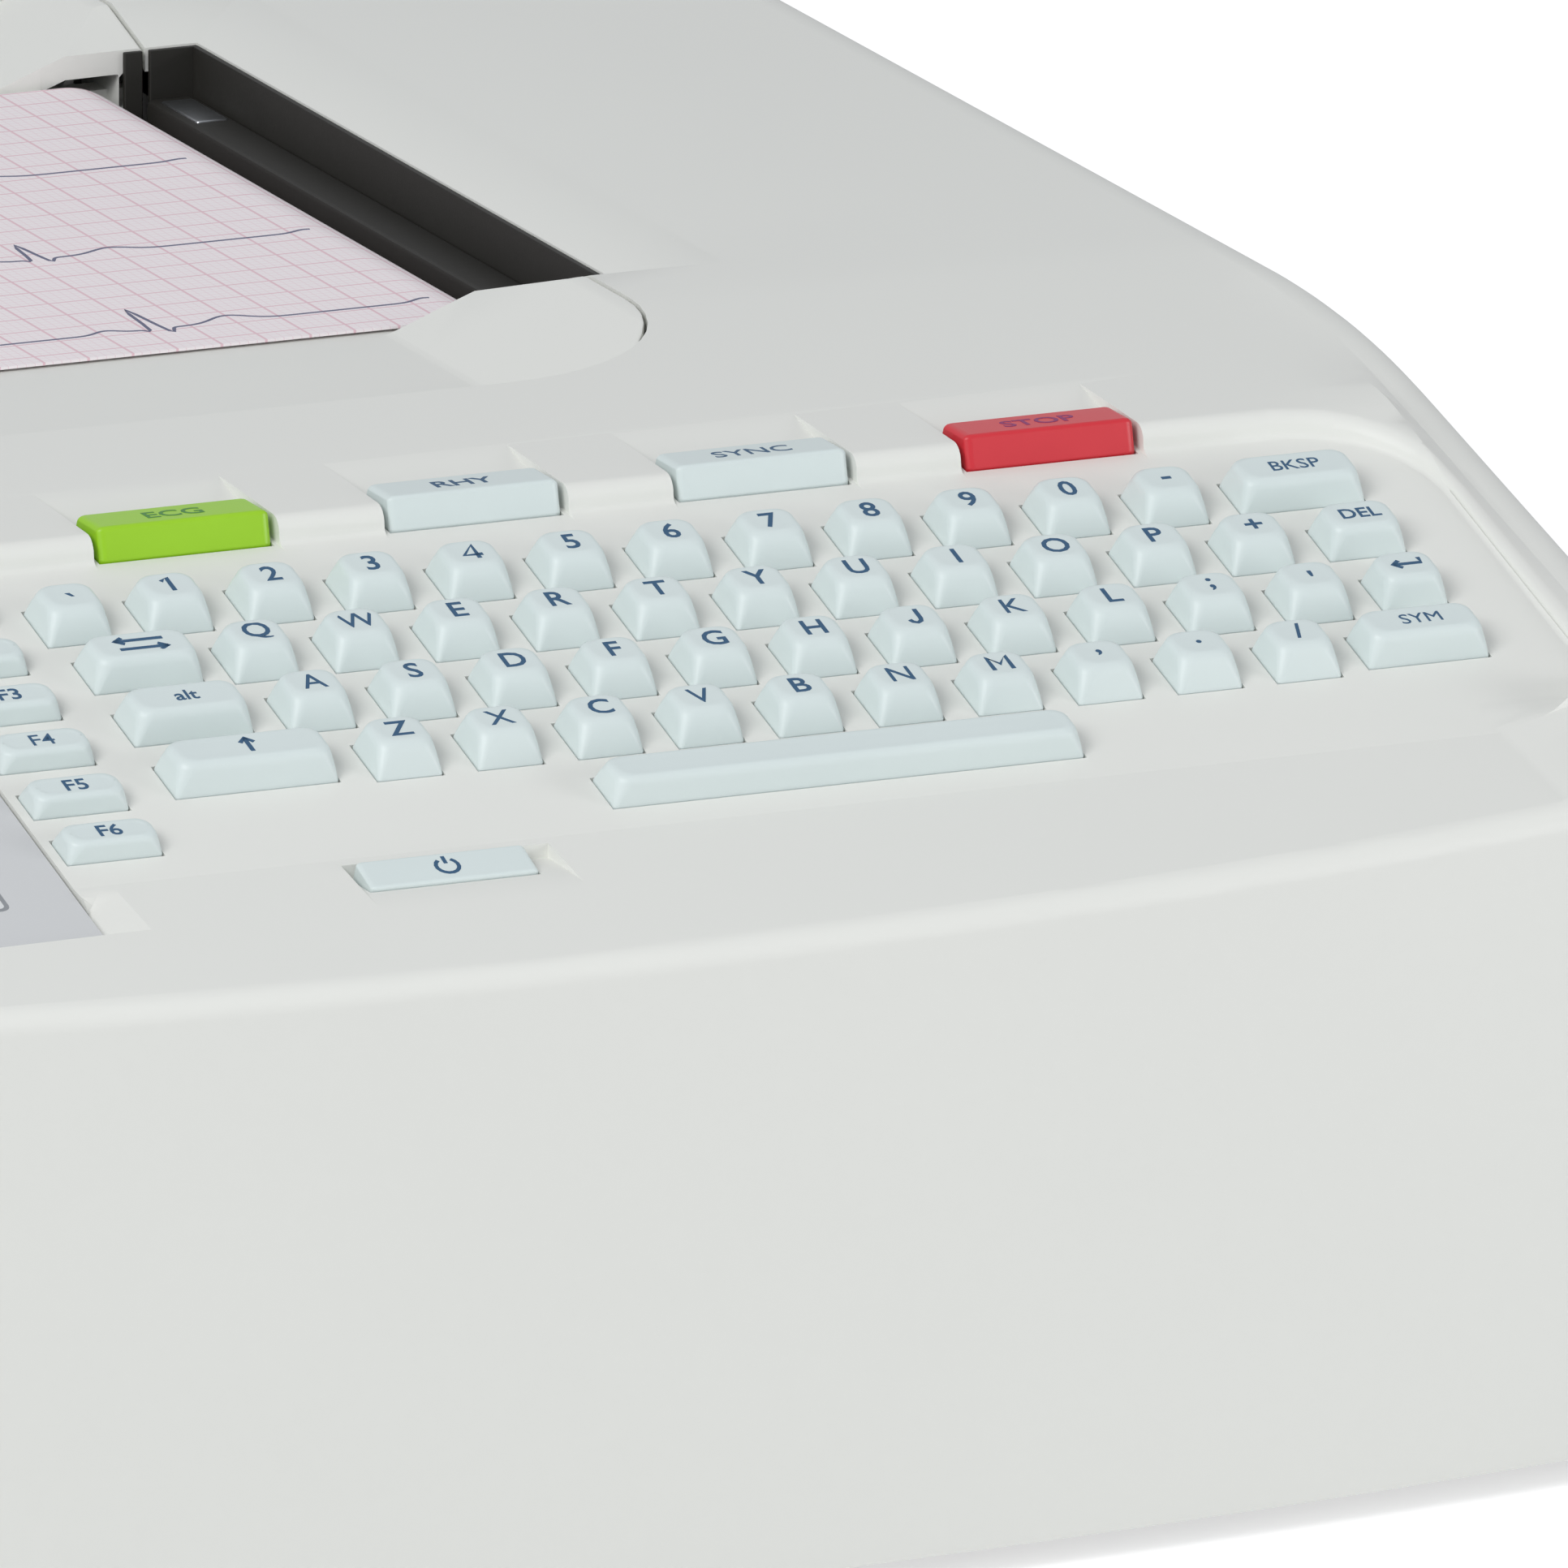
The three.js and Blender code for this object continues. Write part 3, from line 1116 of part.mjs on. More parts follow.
// A socket body through the rear wall, with one mouth or two above each other
function socketSolid(s) {
  const low = s.z - s.height / 2;
  let body = block(s.x - s.width / 2, s.x + s.width / 2, rearY - s.depth, rearY, low, low + s.height);
  const share = s.height / s.mouths;
  for (let i = 0; i < s.mouths; i += 1) {
    const z = low + share * i + share / 2;
    body = body.subtract(block(s.x - s.hollowWidth / 2, s.x + s.hollowWidth / 2, rearY - s.hollowDepth, rearY + over,
      z - s.hollowHeight / 2, z + s.hollowHeight / 2));
  }
  return body;
}

// Finishes
const finishes = {
  housing: { color: 0xe4e6e0, roughness: 0.5, metalness: 0 },
  key: { color: 0xdce8ee, roughness: 0.45, metalness: 0 },
  green: { color: 0x98cd2d, roughness: 0.45, metalness: 0 },
  red: { color: 0xd6303a, roughness: 0.45, metalness: 0 },
  window: { color: 0xc9ccd0, roughness: 0.2, metalness: 0 },
  dark: { color: 0x2d2c28, roughness: 0.6, metalness: 0 },
  paper: { color: 0xe6dcdf, roughness: 0.8, metalness: 0 },
  steel: { color: 0xb8bbbe, roughness: 0.35, metalness: 0.9 },
  brass: { color: 0xc9a85a, roughness: 0.35, metalness: 0.9 },
  board: { color: 0x2f6b45, roughness: 0.6, metalness: 0 },
  mat: { color: 0xb9c1c6, roughness: 0.8, metalness: 0 },
  grey: { color: 0x9aa0a3, roughness: 0.6, metalness: 0 },
};

const part = new THREE.Group();

function place(name, solid, finish) {
  const mesh = new THREE.Mesh(geometryOf(solid), new THREE.MeshStandardMaterial(finishes[finish]));
  mesh.name = name;
  part.add(mesh);
}

const platenSet = platenParts();

place('top_housing', topHousing(), 'housing');
place('base_housing', baseHousing(), 'housing');
place('writer_cover', writerCover(), 'housing');
place('cover_latch_button', latchButton(), 'key');
place('paper_tray', paperTray(), 'grey');
place('paper_stack', paperStack(), 'paper');
place('paper_web', paperWeb(), 'paper');
place('platen_roller', platenSet.roller, 'dark');
place('platen_shaft', platenSet.shaft, 'steel');
place('front_platen_bearing', platenSet.bearings[0], 'brass');
place('rear_platen_bearing', platenSet.bearings[1], 'brass');
place('platen_gear', platenSet.gear, 'key');
place('motor_pinion', platenSet.pinion, 'brass');
place('stepper_motor', stepperMotor(), 'steel');
place('writer_frame', writerFrame(), 'steel');
place('print_head', printHead(), 'dark');
place('print_head_spring', printHeadSpring(), 'steel');
place('display_window', displayWindow(), 'window');
place('display_module', displayModule(), 'dark');
place('keypad_mat', keypadMat(), 'mat');
place('keypad_board', keypadBoard(), 'board');
place('main_board', mainBoardSolid(), 'board');
place('power_supply', powerSupply(), 'steel');
place('battery_pack', batteryPack(), 'grey');
place('battery_cover', batteryCover(), 'housing');
place('speaker', speakerSolid(), 'dark');

const cornerNames = ['front_right', 'front_left', 'rear_right', 'rear_left'];
bossPlaces().forEach((at, i) => place(`${cornerNames[i]}_housing_screw`, housingScrew(at), 'steel'));
footPlaces().forEach((at, i) => place(`${cornerNames[i]}_foot`, rubberFoot(at), 'dark'));
Object.entries(sockets).forEach(([name, size]) => place(name, socketSolid(size), 'dark'));
Object.entries(keySolids).forEach(([name, solid]) => {
  const finish = { green_function_key: 'green', red_function_key: 'red' }[name] || 'key';
  place(name, solid, finish);
});

export default part;
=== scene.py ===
"""Looks of the resting ECG machine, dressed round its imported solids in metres."""

import logging
import math
from dataclasses import dataclass, field
from enum import Enum
from typing import Callable, Iterable, Sequence

import bpy
import numpy as np
from mathutils import Matrix, Vector
from mathutils.geometry import delaunay_2d_cdt


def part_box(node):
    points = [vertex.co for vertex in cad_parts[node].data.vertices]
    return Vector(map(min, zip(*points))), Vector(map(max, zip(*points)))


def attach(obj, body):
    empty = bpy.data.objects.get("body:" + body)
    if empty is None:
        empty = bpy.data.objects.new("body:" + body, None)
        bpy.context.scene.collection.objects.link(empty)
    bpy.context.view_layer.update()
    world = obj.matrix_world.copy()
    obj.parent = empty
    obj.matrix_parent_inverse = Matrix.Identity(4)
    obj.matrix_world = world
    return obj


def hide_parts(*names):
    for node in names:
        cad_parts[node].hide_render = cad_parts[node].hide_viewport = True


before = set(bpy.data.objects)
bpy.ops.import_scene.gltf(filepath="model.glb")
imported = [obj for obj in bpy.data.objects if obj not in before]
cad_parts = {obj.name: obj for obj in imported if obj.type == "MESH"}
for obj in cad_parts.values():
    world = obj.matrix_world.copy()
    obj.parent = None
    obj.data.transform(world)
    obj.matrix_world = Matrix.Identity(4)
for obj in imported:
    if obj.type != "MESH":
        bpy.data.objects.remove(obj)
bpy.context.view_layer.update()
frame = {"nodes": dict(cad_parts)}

MM = 0.001
LOG = logging.getLogger("ecg_machine")
Point = tuple[float, float]
Triple = tuple[float, float, float]
Span = tuple[float, float]
Faces = list[tuple[int, ...]]
Edges = list[tuple[int, int]]
Place = Callable[[Iterable[Sequence[float]]], list[Triple]]

# Sockets of a colour mix node: its two colours and its result.
MIX_A, MIX_B, MIX_OUT = 6, 7, 2


class Body(Enum):
    """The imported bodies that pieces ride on, apart from the keys."""

    MACHINE = "machine"
    COVER = "cover"
    LATCH = "latch"


# ---------------------------------------------------------------- finishes


@dataclass(frozen=True)
class Finish:
    """A moulded or machined surface with slight mottling and a fine texture.

    Attributes are the name, a slot name that is not used, the colour as written in sRGB hex, and how the surface
    shines.
    """

    name: str
    slot: str
    colour: str
    roughness: float = 0.5
    metallic: float = 0.0
    mottle: float = 0.04
    mottle_size: float = 18.0
    grain: float = 0.12
    grain_size: float = 0.35
    sheen: float = 0.0
    coat: float = 0.0
    brushed: float = 0.0

    def linear(self, factor: float = 1.0) -> tuple[float, float, float, float]:
        """Returns the colour in linear light, times a factor."""
        values = []
        for at in (0, 2, 4):
            v = int(self.colour[at:at + 2], 16) / 255
            v = v / 12.92 if v <= 0.04045 else ((v + 0.055) / 1.055) ** 2.4
            values.append(min(1.0, v * factor))
        return (values[0], values[1], values[2], 1.0)

    def material(self) -> bpy.types.Material:
        """Returns the node material, made once for each finish."""
        made = bpy.data.materials.get(self.name)
        return made or self._build()

    def _build(self) -> bpy.types.Material:
        """Builds colour, shine and relief from noise in the piece's own space."""
        m = bpy.data.materials.new(self.name)
        m.use_nodes = True
        nodes, links = m.node_tree.nodes, m.node_tree.links
        shader = nodes["Principled BSDF"]
        shader.inputs["Metallic"].default_value = self.metallic
        shader.inputs["Coat Weight"].default_value = self.coat
        shader.inputs["Coat Roughness"].default_value = 0.08
        shader.inputs["Sheen Weight"].default_value = self.sheen
        place = nodes.new("ShaderNodeTexCoord")
        stretch = nodes.new("ShaderNodeMapping")
        if self.brushed:
            stretch.inputs["Scale"].default_value = (1.0, self.brushed, self.brushed)
        links.new(place.outputs["Object"], stretch.inputs["Vector"])
        cloud = self._noise(m, stretch, self.mottle_size, 3.0)
        colour = nodes.new("ShaderNodeMix")
        colour.data_type = "RGBA"
        colour.inputs[MIX_A].default_value = self.linear(1.0 - self.mottle)
        colour.inputs[MIX_B].default_value = self.linear(1.0 + self.mottle)
        links.new(cloud.outputs["Fac"], colour.inputs[0])
        links.new(colour.outputs[MIX_OUT], shader.inputs["Base Color"])
        shine = nodes.new("ShaderNodeMapRange")
        shine.inputs["To Min"].default_value = max(0.02, self.roughness - 0.05)
        shine.inputs["To Max"].default_value = min(1.0, self.roughness + 0.05)
        links.new(cloud.outputs["Fac"], shine.inputs["Value"])
        links.new(shine.outputs["Result"], shader.inputs["Roughness"])
        texture = self._noise(m, stretch, self.grain_size, 2.0)
        relief = nodes.new("ShaderNodeBump")
        relief.inputs["Strength"].default_value = self.grain
        relief.inputs["Distance"].default_value = 0.05 * MM
        links.new(texture.outputs["Fac"], relief.inputs["Height"])
        links.new(relief.outputs["Normal"], shader.inputs["Normal"])
        self.dress(m, shader, colour)
        return m

    def _noise(self, m: bpy.types.Material, source: bpy.types.Node, size: float, detail: float) -> bpy.types.Node:
        """Adds a noise node.

        Args:
            m: the material it belongs to.
            source: the node that gives its place.
            size: the width of one blotch in millimetres.
            detail: how many finer layers it has.

        Returns:
            The noise node.
        """
        node = m.node_tree.nodes.new("ShaderNodeTexNoise")
        node.inputs["Scale"].default_value = 1.0 / (size * MM)
        node.inputs["Detail"].default_value = detail
        m.node_tree.links.new(source.outputs["Vector"], node.inputs["Vector"])
        return node

    def dress(self, m: bpy.types.Material, shader: bpy.types.Node, colour: bpy.types.Node) -> None:
        """Adds what one kind of finish has of its own; plain finishes add nothing."""


@dataclass(frozen=True)
class ChartPaper(Finish):
    """Thermal chart paper with a 5 mm grid of printed lines and a finer one of 1 mm.

    Attributes are both inks, the pitch and width of their lines, where a line lies and a shift off negative places.
    """

    bold: str = "e8c6cf"
    fine: str = "f1dfe4"
    bold_line: Span = (5.0, 0.30)
    fine_line: Span = (1.0, 0.10)
    grid_start: float = 9.7
    positive: float = 200.0

    def dress(self, m: bpy.types.Material, shader: bpy.types.Node, colour: bpy.types.Node) -> None:
        """Draws both grids over the paper's own colour.

        Args:
            m: the material.
            shader: its surface node.
            colour: the node that gives the bare paper's colour.
        """
        nodes, links = m.node_tree.nodes, m.node_tree.links
        place = nodes.new("ShaderNodeTexCoord")
        split = nodes.new("ShaderNodeSeparateXYZ")
        links.new(place.outputs["Object"], split.inputs["Vector"])
        last = colour.outputs[MIX_OUT]
        for pitch, width, ink in ((*self.fine_line, self.fine), (*self.bold_line, self.bold)):
            marks = []
            for axis in ("X", "Y"):
                shift = nodes.new("ShaderNodeMath")
                shift.operation = "ADD"
                shift.inputs[1].default_value = (self.positive - self.grid_start) * MM
                fold = nodes.new("ShaderNodeMath")
                fold.operation = "PINGPONG"
                fold.inputs[1].default_value = pitch / 2 * MM
                near = nodes.new("ShaderNodeMapRange")
                near.interpolation_type = "SMOOTHSTEP"
                near.inputs["From Min"].default_value = width * 0.25 * MM
                near.inputs["From Max"].default_value = width * 0.75 * MM
                near.inputs["To Min"].default_value = 1.0
                near.inputs["To Max"].default_value = 0.0
                links.new(split.outputs[axis], shift.inputs[0])
                links.new(shift.outputs[0], fold.inputs[0])
                links.new(fold.outputs[0], near.inputs["Value"])
                marks.append(near)
            both = nodes.new("ShaderNodeMath")
            both.operation = "MAXIMUM"
            links.new(marks[0].outputs["Result"], both.inputs[0])
            links.new(marks[1].outputs["Result"], both.inputs[1])
            mix = nodes.new("ShaderNodeMix")
            mix.data_type = "RGBA"
            mix.inputs[MIX_B].default_value = Finish("ink", "", ink).linear()
            links.new(both.outputs[0], mix.inputs[0])
            links.new(last, mix.inputs[MIX_A])
            last = mix.outputs[MIX_OUT]
        links.new(last, shader.inputs["Base Color"])


HOUSING = Finish("housing_plastic", "housing", "e7e8e3", 0.48, mottle=0.012, mottle_size=60.0, grain=0.10)
KEY = Finish("key_plastic", "key", "d8e3e2", 0.42, mottle=0.015, mottle_size=9.0, grain=0.08)
GREEN = Finish("green_key_plastic", "green_key", "9bd023", 0.38, mottle=0.03, mottle_size=7.0, grain=0.08)
RED = Finish("red_key_plastic", "red_key", "d3303b", 0.38, mottle=0.03, mottle_size=7.0, grain=0.08)
LEGEND = Finish("legend_ink", "key", "2f587a", 0.55, mottle=0.06, mottle_size=2.0, grain=0.05)
GREEN_LEGEND = Finish("green_legend_ink", "green_key", "4a8a3c", 0.55, mottle=0.06, mottle_size=2.0, grain=0.05)
RED_LEGEND = Finish("red_legend_ink", "red_key", "8c2a6a", 0.55, mottle=0.06, mottle_size=2.0, grain=0.05)
PAPER = ChartPaper("chart_paper", "paper", "f7f0f2", 0.72, mottle=0.01, mottle_size=12.0, grain=0.05, grain_size=0.2)
PLAIN_PAPER = Finish("plain_paper", "paper", "ece4e6", 0.75, mottle=0.02, mottle_size=9.0, grain=0.2, grain_size=0.3)
TRACE = Finish("trace_ink", "paper", "6a6d86", 0.7, mottle=0.08, mottle_size=1.5, grain=0.04)
BLACK = Finish("black_plastic", "dark_plastic", "262521", 0.6, mottle=0.10, mottle_size=5.0, grain=0.2)
SOCKET = Finish("socket_plastic", "socket_black", "222224", 0.45, mottle=0.08, mottle_size=4.0, grain=0.15)
GREY = Finish("grey_plastic", "grey_plastic", "8f9598", 0.5, mottle=0.04, mottle_size=14.0)
STEEL = Finish("plated_steel", "steel", "bcbfc2", 0.32, 1.0, mottle=0.06, mottle_size=5.0, grain=0.1, brushed=9.0)
CASE = Finish("aluminium_case", "aluminium_case", "c6c8ca", 0.4, 1.0, mottle=0.05, mottle_size=6.0, grain=0.1,
              brushed=7.0)
BRONZE = Finish("sintered_bronze", "bearing_bronze", "c39f52", 0.4, 1.0, mottle=0.10, mottle_size=1.2, grain=0.3)
GEAR = Finish("gear_plastic", "gear_plastic", "ecebe4", 0.45, mottle=0.03, mottle_size=4.0)
ROLLER = Finish("roller_rubber", "roller_rubber", "2b2b2c", 0.75, mottle=0.08, mottle_size=3.0, grain=0.35)
FOOT = Finish("foot_rubber", "foot_rubber", "3a3a3b", 0.8, mottle=0.08, mottle_size=3.0, grain=0.4)
MAT = Finish("keypad_rubber", "keypad_rubber", "b9c1c6", 0.7, mottle=0.03, mottle_size=7.0, grain=0.25)
BOARD = Finish("circuit_board", "board", "2f6b45", 0.45, mottle=0.14, mottle_size=2.4, grain=0.3, grain_size=1.2)
WRAP = Finish("battery_wrap", "battery_wrap", "2f5f9a", 0.3, mottle=0.05, mottle_size=8.0, coat=0.4)
PANE = Finish("window_pane", "window", "d3d5d6", 0.16, mottle=0.015, mottle_size=30.0, grain=0.02, coat=0.6)
PANEL = Finish("crystal_panel", "window", "dfe2e2", 0.22, mottle=0.02, mottle_size=16.0, grain=0.03, coat=0.5)
PANE_LINE = Finish("window_line", "window", "8e9296", 0.3, mottle=0.04, mottle_size=5.0, grain=0.03, coat=0.4)
SCREEN_INK = Finish("screen_ink", "window", "4358b4", 0.3, mottle=0.05, mottle_size=3.0, grain=0.03, coat=0.4)

NODE_FINISHES: dict[str, Finish] = {
    "base_housing": HOUSING, "battery_cover": HOUSING, "paper_tray": GREY, "paper_stack": PLAIN_PAPER,
    "platen_roller": ROLLER, "platen_shaft": STEEL, "front_platen_bearing": BRONZE, "rear_platen_bearing": BRONZE,
    "platen_gear": GEAR, "motor_pinion": BRONZE, "stepper_motor": STEEL, "writer_frame": STEEL,
    "print_head_spring": STEEL, "display_module": BLACK, "keypad_mat": MAT, "keypad_board": BOARD,
    "main_board": BOARD, "power_supply": CASE, "battery_pack": WRAP, "speaker": BLACK,
    "power_inlet": SOCKET, "network_jack": SOCKET, "data_ports": SOCKET, "patient_connector": SOCKET,
}


# ---------------------------------------------------------------- mesh tools


def smooth(t: np.ndarray) -> np.ndarray:
    """Returns the smooth step of t, from 0 to 1."""
    t = np.clip(t, 0.0, 1.0)
    return t * t * (3 - 2 * t)


def soft_min(a: np.ndarray, b: np.ndarray, width: float) -> np.ndarray:
    """Returns the lower of two heights, rounded where they cross."""
    h = np.clip(0.5 + 0.5 * (b - a) / width, 0.0, 1.0)
    return b * (1 - h) + a * h - width * h * (1 - h)


def quarter(cx: float, cy: float, radius: float, turn: int, steps: int) -> list[Point]:
    """Returns a quarter circle, anticlockwise; turn 0 is the right rear one."""
    angles = (np.arange(steps + 1) / steps + turn) * math.pi / 2
    return [(cx + radius * math.cos(a), cy + radius * math.sin(a)) for a in angles]


def rounded_box(x0: float, x1: float, y0: float, y1: float, radii: Sequence[float], steps: int = 4) -> list[Point]:
    """Returns a rectangle with four corner radii: right rear, left rear, left front, right front."""
    a, b, c, d = radii
    return [*quarter(x1 - a, y1 - a, a, 0, steps), *quarter(x0 + b, y1 - b, b, 1, steps),
            *quarter(x0 + c, y0 + c, c, 2, steps), *quarter(x1 - d, y0 + d, d, 3, steps)]


class Loop:
    """A convex outline, anticlockwise, in millimetres."""

    SAME_POINT = 1e-5

    def __init__(self, points: Sequence[Point]) -> None:
        """Keeps the points that differ and works out the inward normals."""
        raw = np.array(points, float)
        gap = np.linalg.norm(raw - np.roll(raw, 1, 0), axis=1)
        self.points = raw[gap > self.SAME_POINT]
        edge = np.roll(self.points, -1, 0) - self.points
        length = np.linalg.norm(edge, axis=1)[:, None]
        self.normals = np.stack([-edge[:, 1], edge[:, 0]], 1) / length
        self.offsets = (self.normals * self.points).sum(1)

    def depth(self, at: np.ndarray) -> np.ndarray:
        """Returns how far points lie inside the outline; it is negative outside."""
        return (at @ self.normals.T - self.offsets).min(1)

    def nearest(self, at: np.ndarray) -> tuple[np.ndarray, np.ndarray]:
        """Returns the inward normal of the nearest side and the depth, for each point."""
        signed = at @ self.normals.T - self.offsets
        side = signed.argmin(1)
        return self.normals[side], signed[np.arange(len(at)), side]

    def parallel(self, inset: float) -> np.ndarray:
        """Returns the outline moved inwards, or outwards where inset is negative."""
        n0, n1 = np.roll(self.normals, 1, 0), self.normals
        c0, c1 = np.roll(self.offsets, 1) + inset, self.offsets + inset
        det = n0[:, 0] * n1[:, 1] - n0[:, 1] * n1[:, 0]
        return np.stack([(c0 * n1[:, 1] - c1 * n0[:, 1]) / det, (n0[:, 0] * c1 - n1[:, 0] * c0) / det], 1)


class Solid:
    """Vertices in millimetres and faces, with a finish for each face."""

    def __init__(self) -> None:
        """Starts with nothing."""
        self.verts: list[Triple] = []
        self.faces: Faces = []
        self.slots: list[int] = []
        self.finishes: list[Finish] = []

    def add(self, verts: Iterable[Sequence[float]], faces: Iterable[Sequence[int]], finish: Finish) -> "Solid":
        """Adds a mesh.

        Args:
            verts: its points.
            faces: its faces, by index into those points.
            finish: the finish of all of them.

        Returns:
            This solid.
        """
        if finish not in self.finishes:
            self.finishes.append(finish)
        index, start = self.finishes.index(finish), len(self.verts)
        self.verts += [tuple(float(c) for c in v) for v in verts]
        new = [tuple(int(i) + start for i in f) for f in faces]
        self.faces += new
        self.slots += [index] * len(new)
        return self

    def rings(self, rings: Sequence[np.ndarray], finish: Finish) -> "Solid":
        """Adds a skin over rings of equal length, closed by a face at both ends."""
        count = len(rings[0])
        faces: Faces = []
        for r in range(len(rings) - 1):
            a, b = r * count, (r + 1) * count
            faces += [(a + i, a + (i + 1) % count, b + (i + 1) % count, b + i) for i in range(count)]
        faces.append(tuple(reversed(range(count))))
        faces.append(tuple(range((len(rings) - 1) * count, len(rings) * count)))
        return self.add(np.concatenate(rings), faces, finish)

    def block(self, low: Triple, high: Triple, finish: Finish, edge: float = 0.3) -> "Solid":
        """Adds a box with rounded upright edges and chamfered ends."""
        (x0, y0, z0), (x1, y1, z1) = low, high
        e = min(edge, 0.3 * min(x1 - x0, y1 - y0, z1 - z0))
        loop = Loop(rounded_box(x0, x1, y0, y1, [e * 1.5] * 4, 3))
        levels = [(z0, e), (z0 + e * 0.3, e * 0.3), (z0 + e, 0), (z1 - e, 0), (z1 - e * 0.3, e * 0.3), (z1, e)]
        return self.rings([lift(loop.parallel(i), z) for z, i in levels], finish)

    def object(self, name: str, sharp: float) -> bpy.types.Object:
        """Makes the Blender object, with large faces shaded flat up to their edges.

        Args:
            name: its name.
            sharp: edges that turn by more degrees than this stay crisp.

        Returns:
            The object, linked to the scene.
        """
        mesh = bpy.data.meshes.new(name)
        mesh.from_pydata([tuple(c * MM for c in v) for v in self.verts], [], self.faces)
        for finish in self.finishes:
            mesh.materials.append(finish.material())
        mesh.polygons.foreach_set("material_index", self.slots)
        mesh.polygons.foreach_set("use_smooth", [True] * len(mesh.polygons))
        mesh.update()
        mesh.set_sharp_from_angle(angle=math.radians(sharp))
        made = bpy.data.objects.new(name, mesh)
        bpy.context.scene.collection.objects.link(made)
        modifier = made.modifiers.new("even_shading", "WEIGHTED_NORMAL")
        modifier.mode = "FACE_AREA"
        modifier.keep_sharp = True
        return made


ON_OUTLINE = 2e-3


def lift(points: np.ndarray, z: float | np.ndarray) -> np.ndarray:
    """Returns plan points with a height."""
    return np.column_stack([points, np.broadcast_to(z, len(points))])


def settle(piece: bpy.types.Object, body: str, node: str) -> None:
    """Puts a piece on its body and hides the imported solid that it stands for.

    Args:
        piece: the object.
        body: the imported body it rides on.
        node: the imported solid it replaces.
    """
    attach(piece, body)
    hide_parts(node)
    LOG.info("%s rides on %s: %d faces", piece.name, body, len(piece.data.polygons))


def box_of(node: str) -> tuple[Triple, Triple]:
    """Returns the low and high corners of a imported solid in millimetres."""
    low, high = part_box(node)
    return tuple(v / MM for v in low), tuple(v / MM for v in high)


def turned(x: float, y: float, profile: Sequence[tuple[float | np.ndarray, float]], steps: int) -> list[np.ndarray]:
    """Returns the rings of an upright turned piece.

    Args:
        x: where its axis stands across.
        y: where its axis stands along.
        profile: a radius, or one for each step, and a height for each ring.
        steps: the points of a ring.

    Returns:
        The rings in the order of the profile.
    """
    angles = np.linspace(0, 2 * math.pi, steps + 1)[:-1]
    round_x, round_y = np.cos(angles), np.sin(angles)
    return [np.column_stack([x + r * round_x, y + r * round_y, np.full(steps, z)]) for r, z in profile]


@dataclass
class Skin:
    """A sheet over a region seen from above, with a wall thickness.

    Attributes are the height of its upper side, the constraint lines, a test of what belongs to it, its lower side
    for points of the upper one, the points and triangles found, and what counts as one point or as no triangle.
    """

    height: Callable[[np.ndarray], np.ndarray]
    lines: list[np.ndarray]
    keep: Callable[[np.ndarray], np.ndarray]
    under: Callable[[np.ndarray], np.ndarray]
    verts: np.ndarray = field(init=False)
    tris: np.ndarray = field(init=False)
    merge: float = 2e-4
    least_area: float = 1e-9

    def triangulate(self) -> None:
        """Fills the region with triangles that keep to every line; a line of two points stays open."""
        edges: Edges = []
        count = 0
        for line in self.lines:
            n = len(line)
            edges += [(count + i, count + (i + 1) % n) for i in range(n if n > 2 else n - 1)]
            count += n
        flat = np.concatenate(self.lines)
        out, _, tris, _, _, _ = delaunay_2d_cdt([Vector(p) for p in flat], edges, [], 0, self.merge, False)
        at = np.array([tuple(v) for v in out], float)
        found = np.array(tris, int)
        centres = at[found].mean(1)
        found = found[self.keep(centres)]
        area = np.cross(at[found[:, 1]] - at[found[:, 0]], at[found[:, 2]] - at[found[:, 0]])
        found = found[np.abs(area) > self.least_area]
        area = area[np.abs(area) > self.least_area]
        found[area < 0] = found[area < 0][:, ::-1]
        used, back = np.unique(found, return_inverse=True)
        self.verts, self.tris = at[used], back.reshape(-1, 3)

    def rim(self) -> Edges:
        """Returns the boundary edges, each with the sheet on its left."""
        seen = {(int(a), int(b)) for t in self.tris for a, b in ((t[0], t[1]), (t[1], t[2]), (t[2], t[0]))}
        return [(a, b) for a, b in seen if (b, a) not in seen]

    def build(self, solid: Solid, finish: Finish, outline: Loop) -> Edges:
        """Adds both sides and the lips of the openings to a solid.

        Args:
            solid: what the faces go into.
            finish: their finish.
            outline: where the outer wall hangs, so that no lip is made.

        Returns:
            The boundary edges of the outer wall.
        """
        self.triangulate()
        count = len(self.verts)
        top = lift(self.verts, self.height(self.verts))
        low = self.under(top)
        rim = self.rim()
        outer = np.abs(outline.depth(self.verts)) < ON_OUTLINE
        wall = [(a, b) for a, b in rim if outer[a] and outer[b]]
        lips = [(b, a, a + count, b + count) for a, b in rim if not (outer[a] and outer[b])]
        faces = [tuple(t) for t in self.tris] + [tuple(t[::-1] + count) for t in self.tris] + lips
        solid.add(np.concatenate([top, low]), faces, finish)
        return wall

    def hang(self, solid: Solid, edges: Edges, drop: Callable[[np.ndarray, np.ndarray], tuple[np.ndarray, np.ndarray]]
             ) -> None:
        """Hangs a wall from edges of the sheet that was added last.

        Args:
            solid: what the faces go into.
            edges: the boundary edges that carry it.
            drop: gives the wall's outer and inner foot from the plan points of both sides of the sheet.
        """
        ends = sorted({i for e in edges for i in e})
        index = {v: n for n, v in enumerate(ends)}
        rim = self.verts[ends]
        outer, inner = drop(rim, self.under(lift(rim, self.height(rim)))[:, :2])
        count, start, n = len(self.verts), len(solid.verts), len(ends)
        solid.verts += [tuple(v) for v in (*outer, *inner)]
        base = start - 2 * count
        for a, b in edges:
            ia, ib = index[a], index[b]
            solid.faces += [(base + b, base + a, start + ia, start + ib),
                            (base + count + a, base + count + b, start + n + ib, start + n + ia),
                            (start + ib, start + ia, start + n + ia, start + n + ib)]
        solid.slots += [solid.slots[-1]] * 3 * len(edges)


# ---------------------------------------------------------------- measures, in millimetres


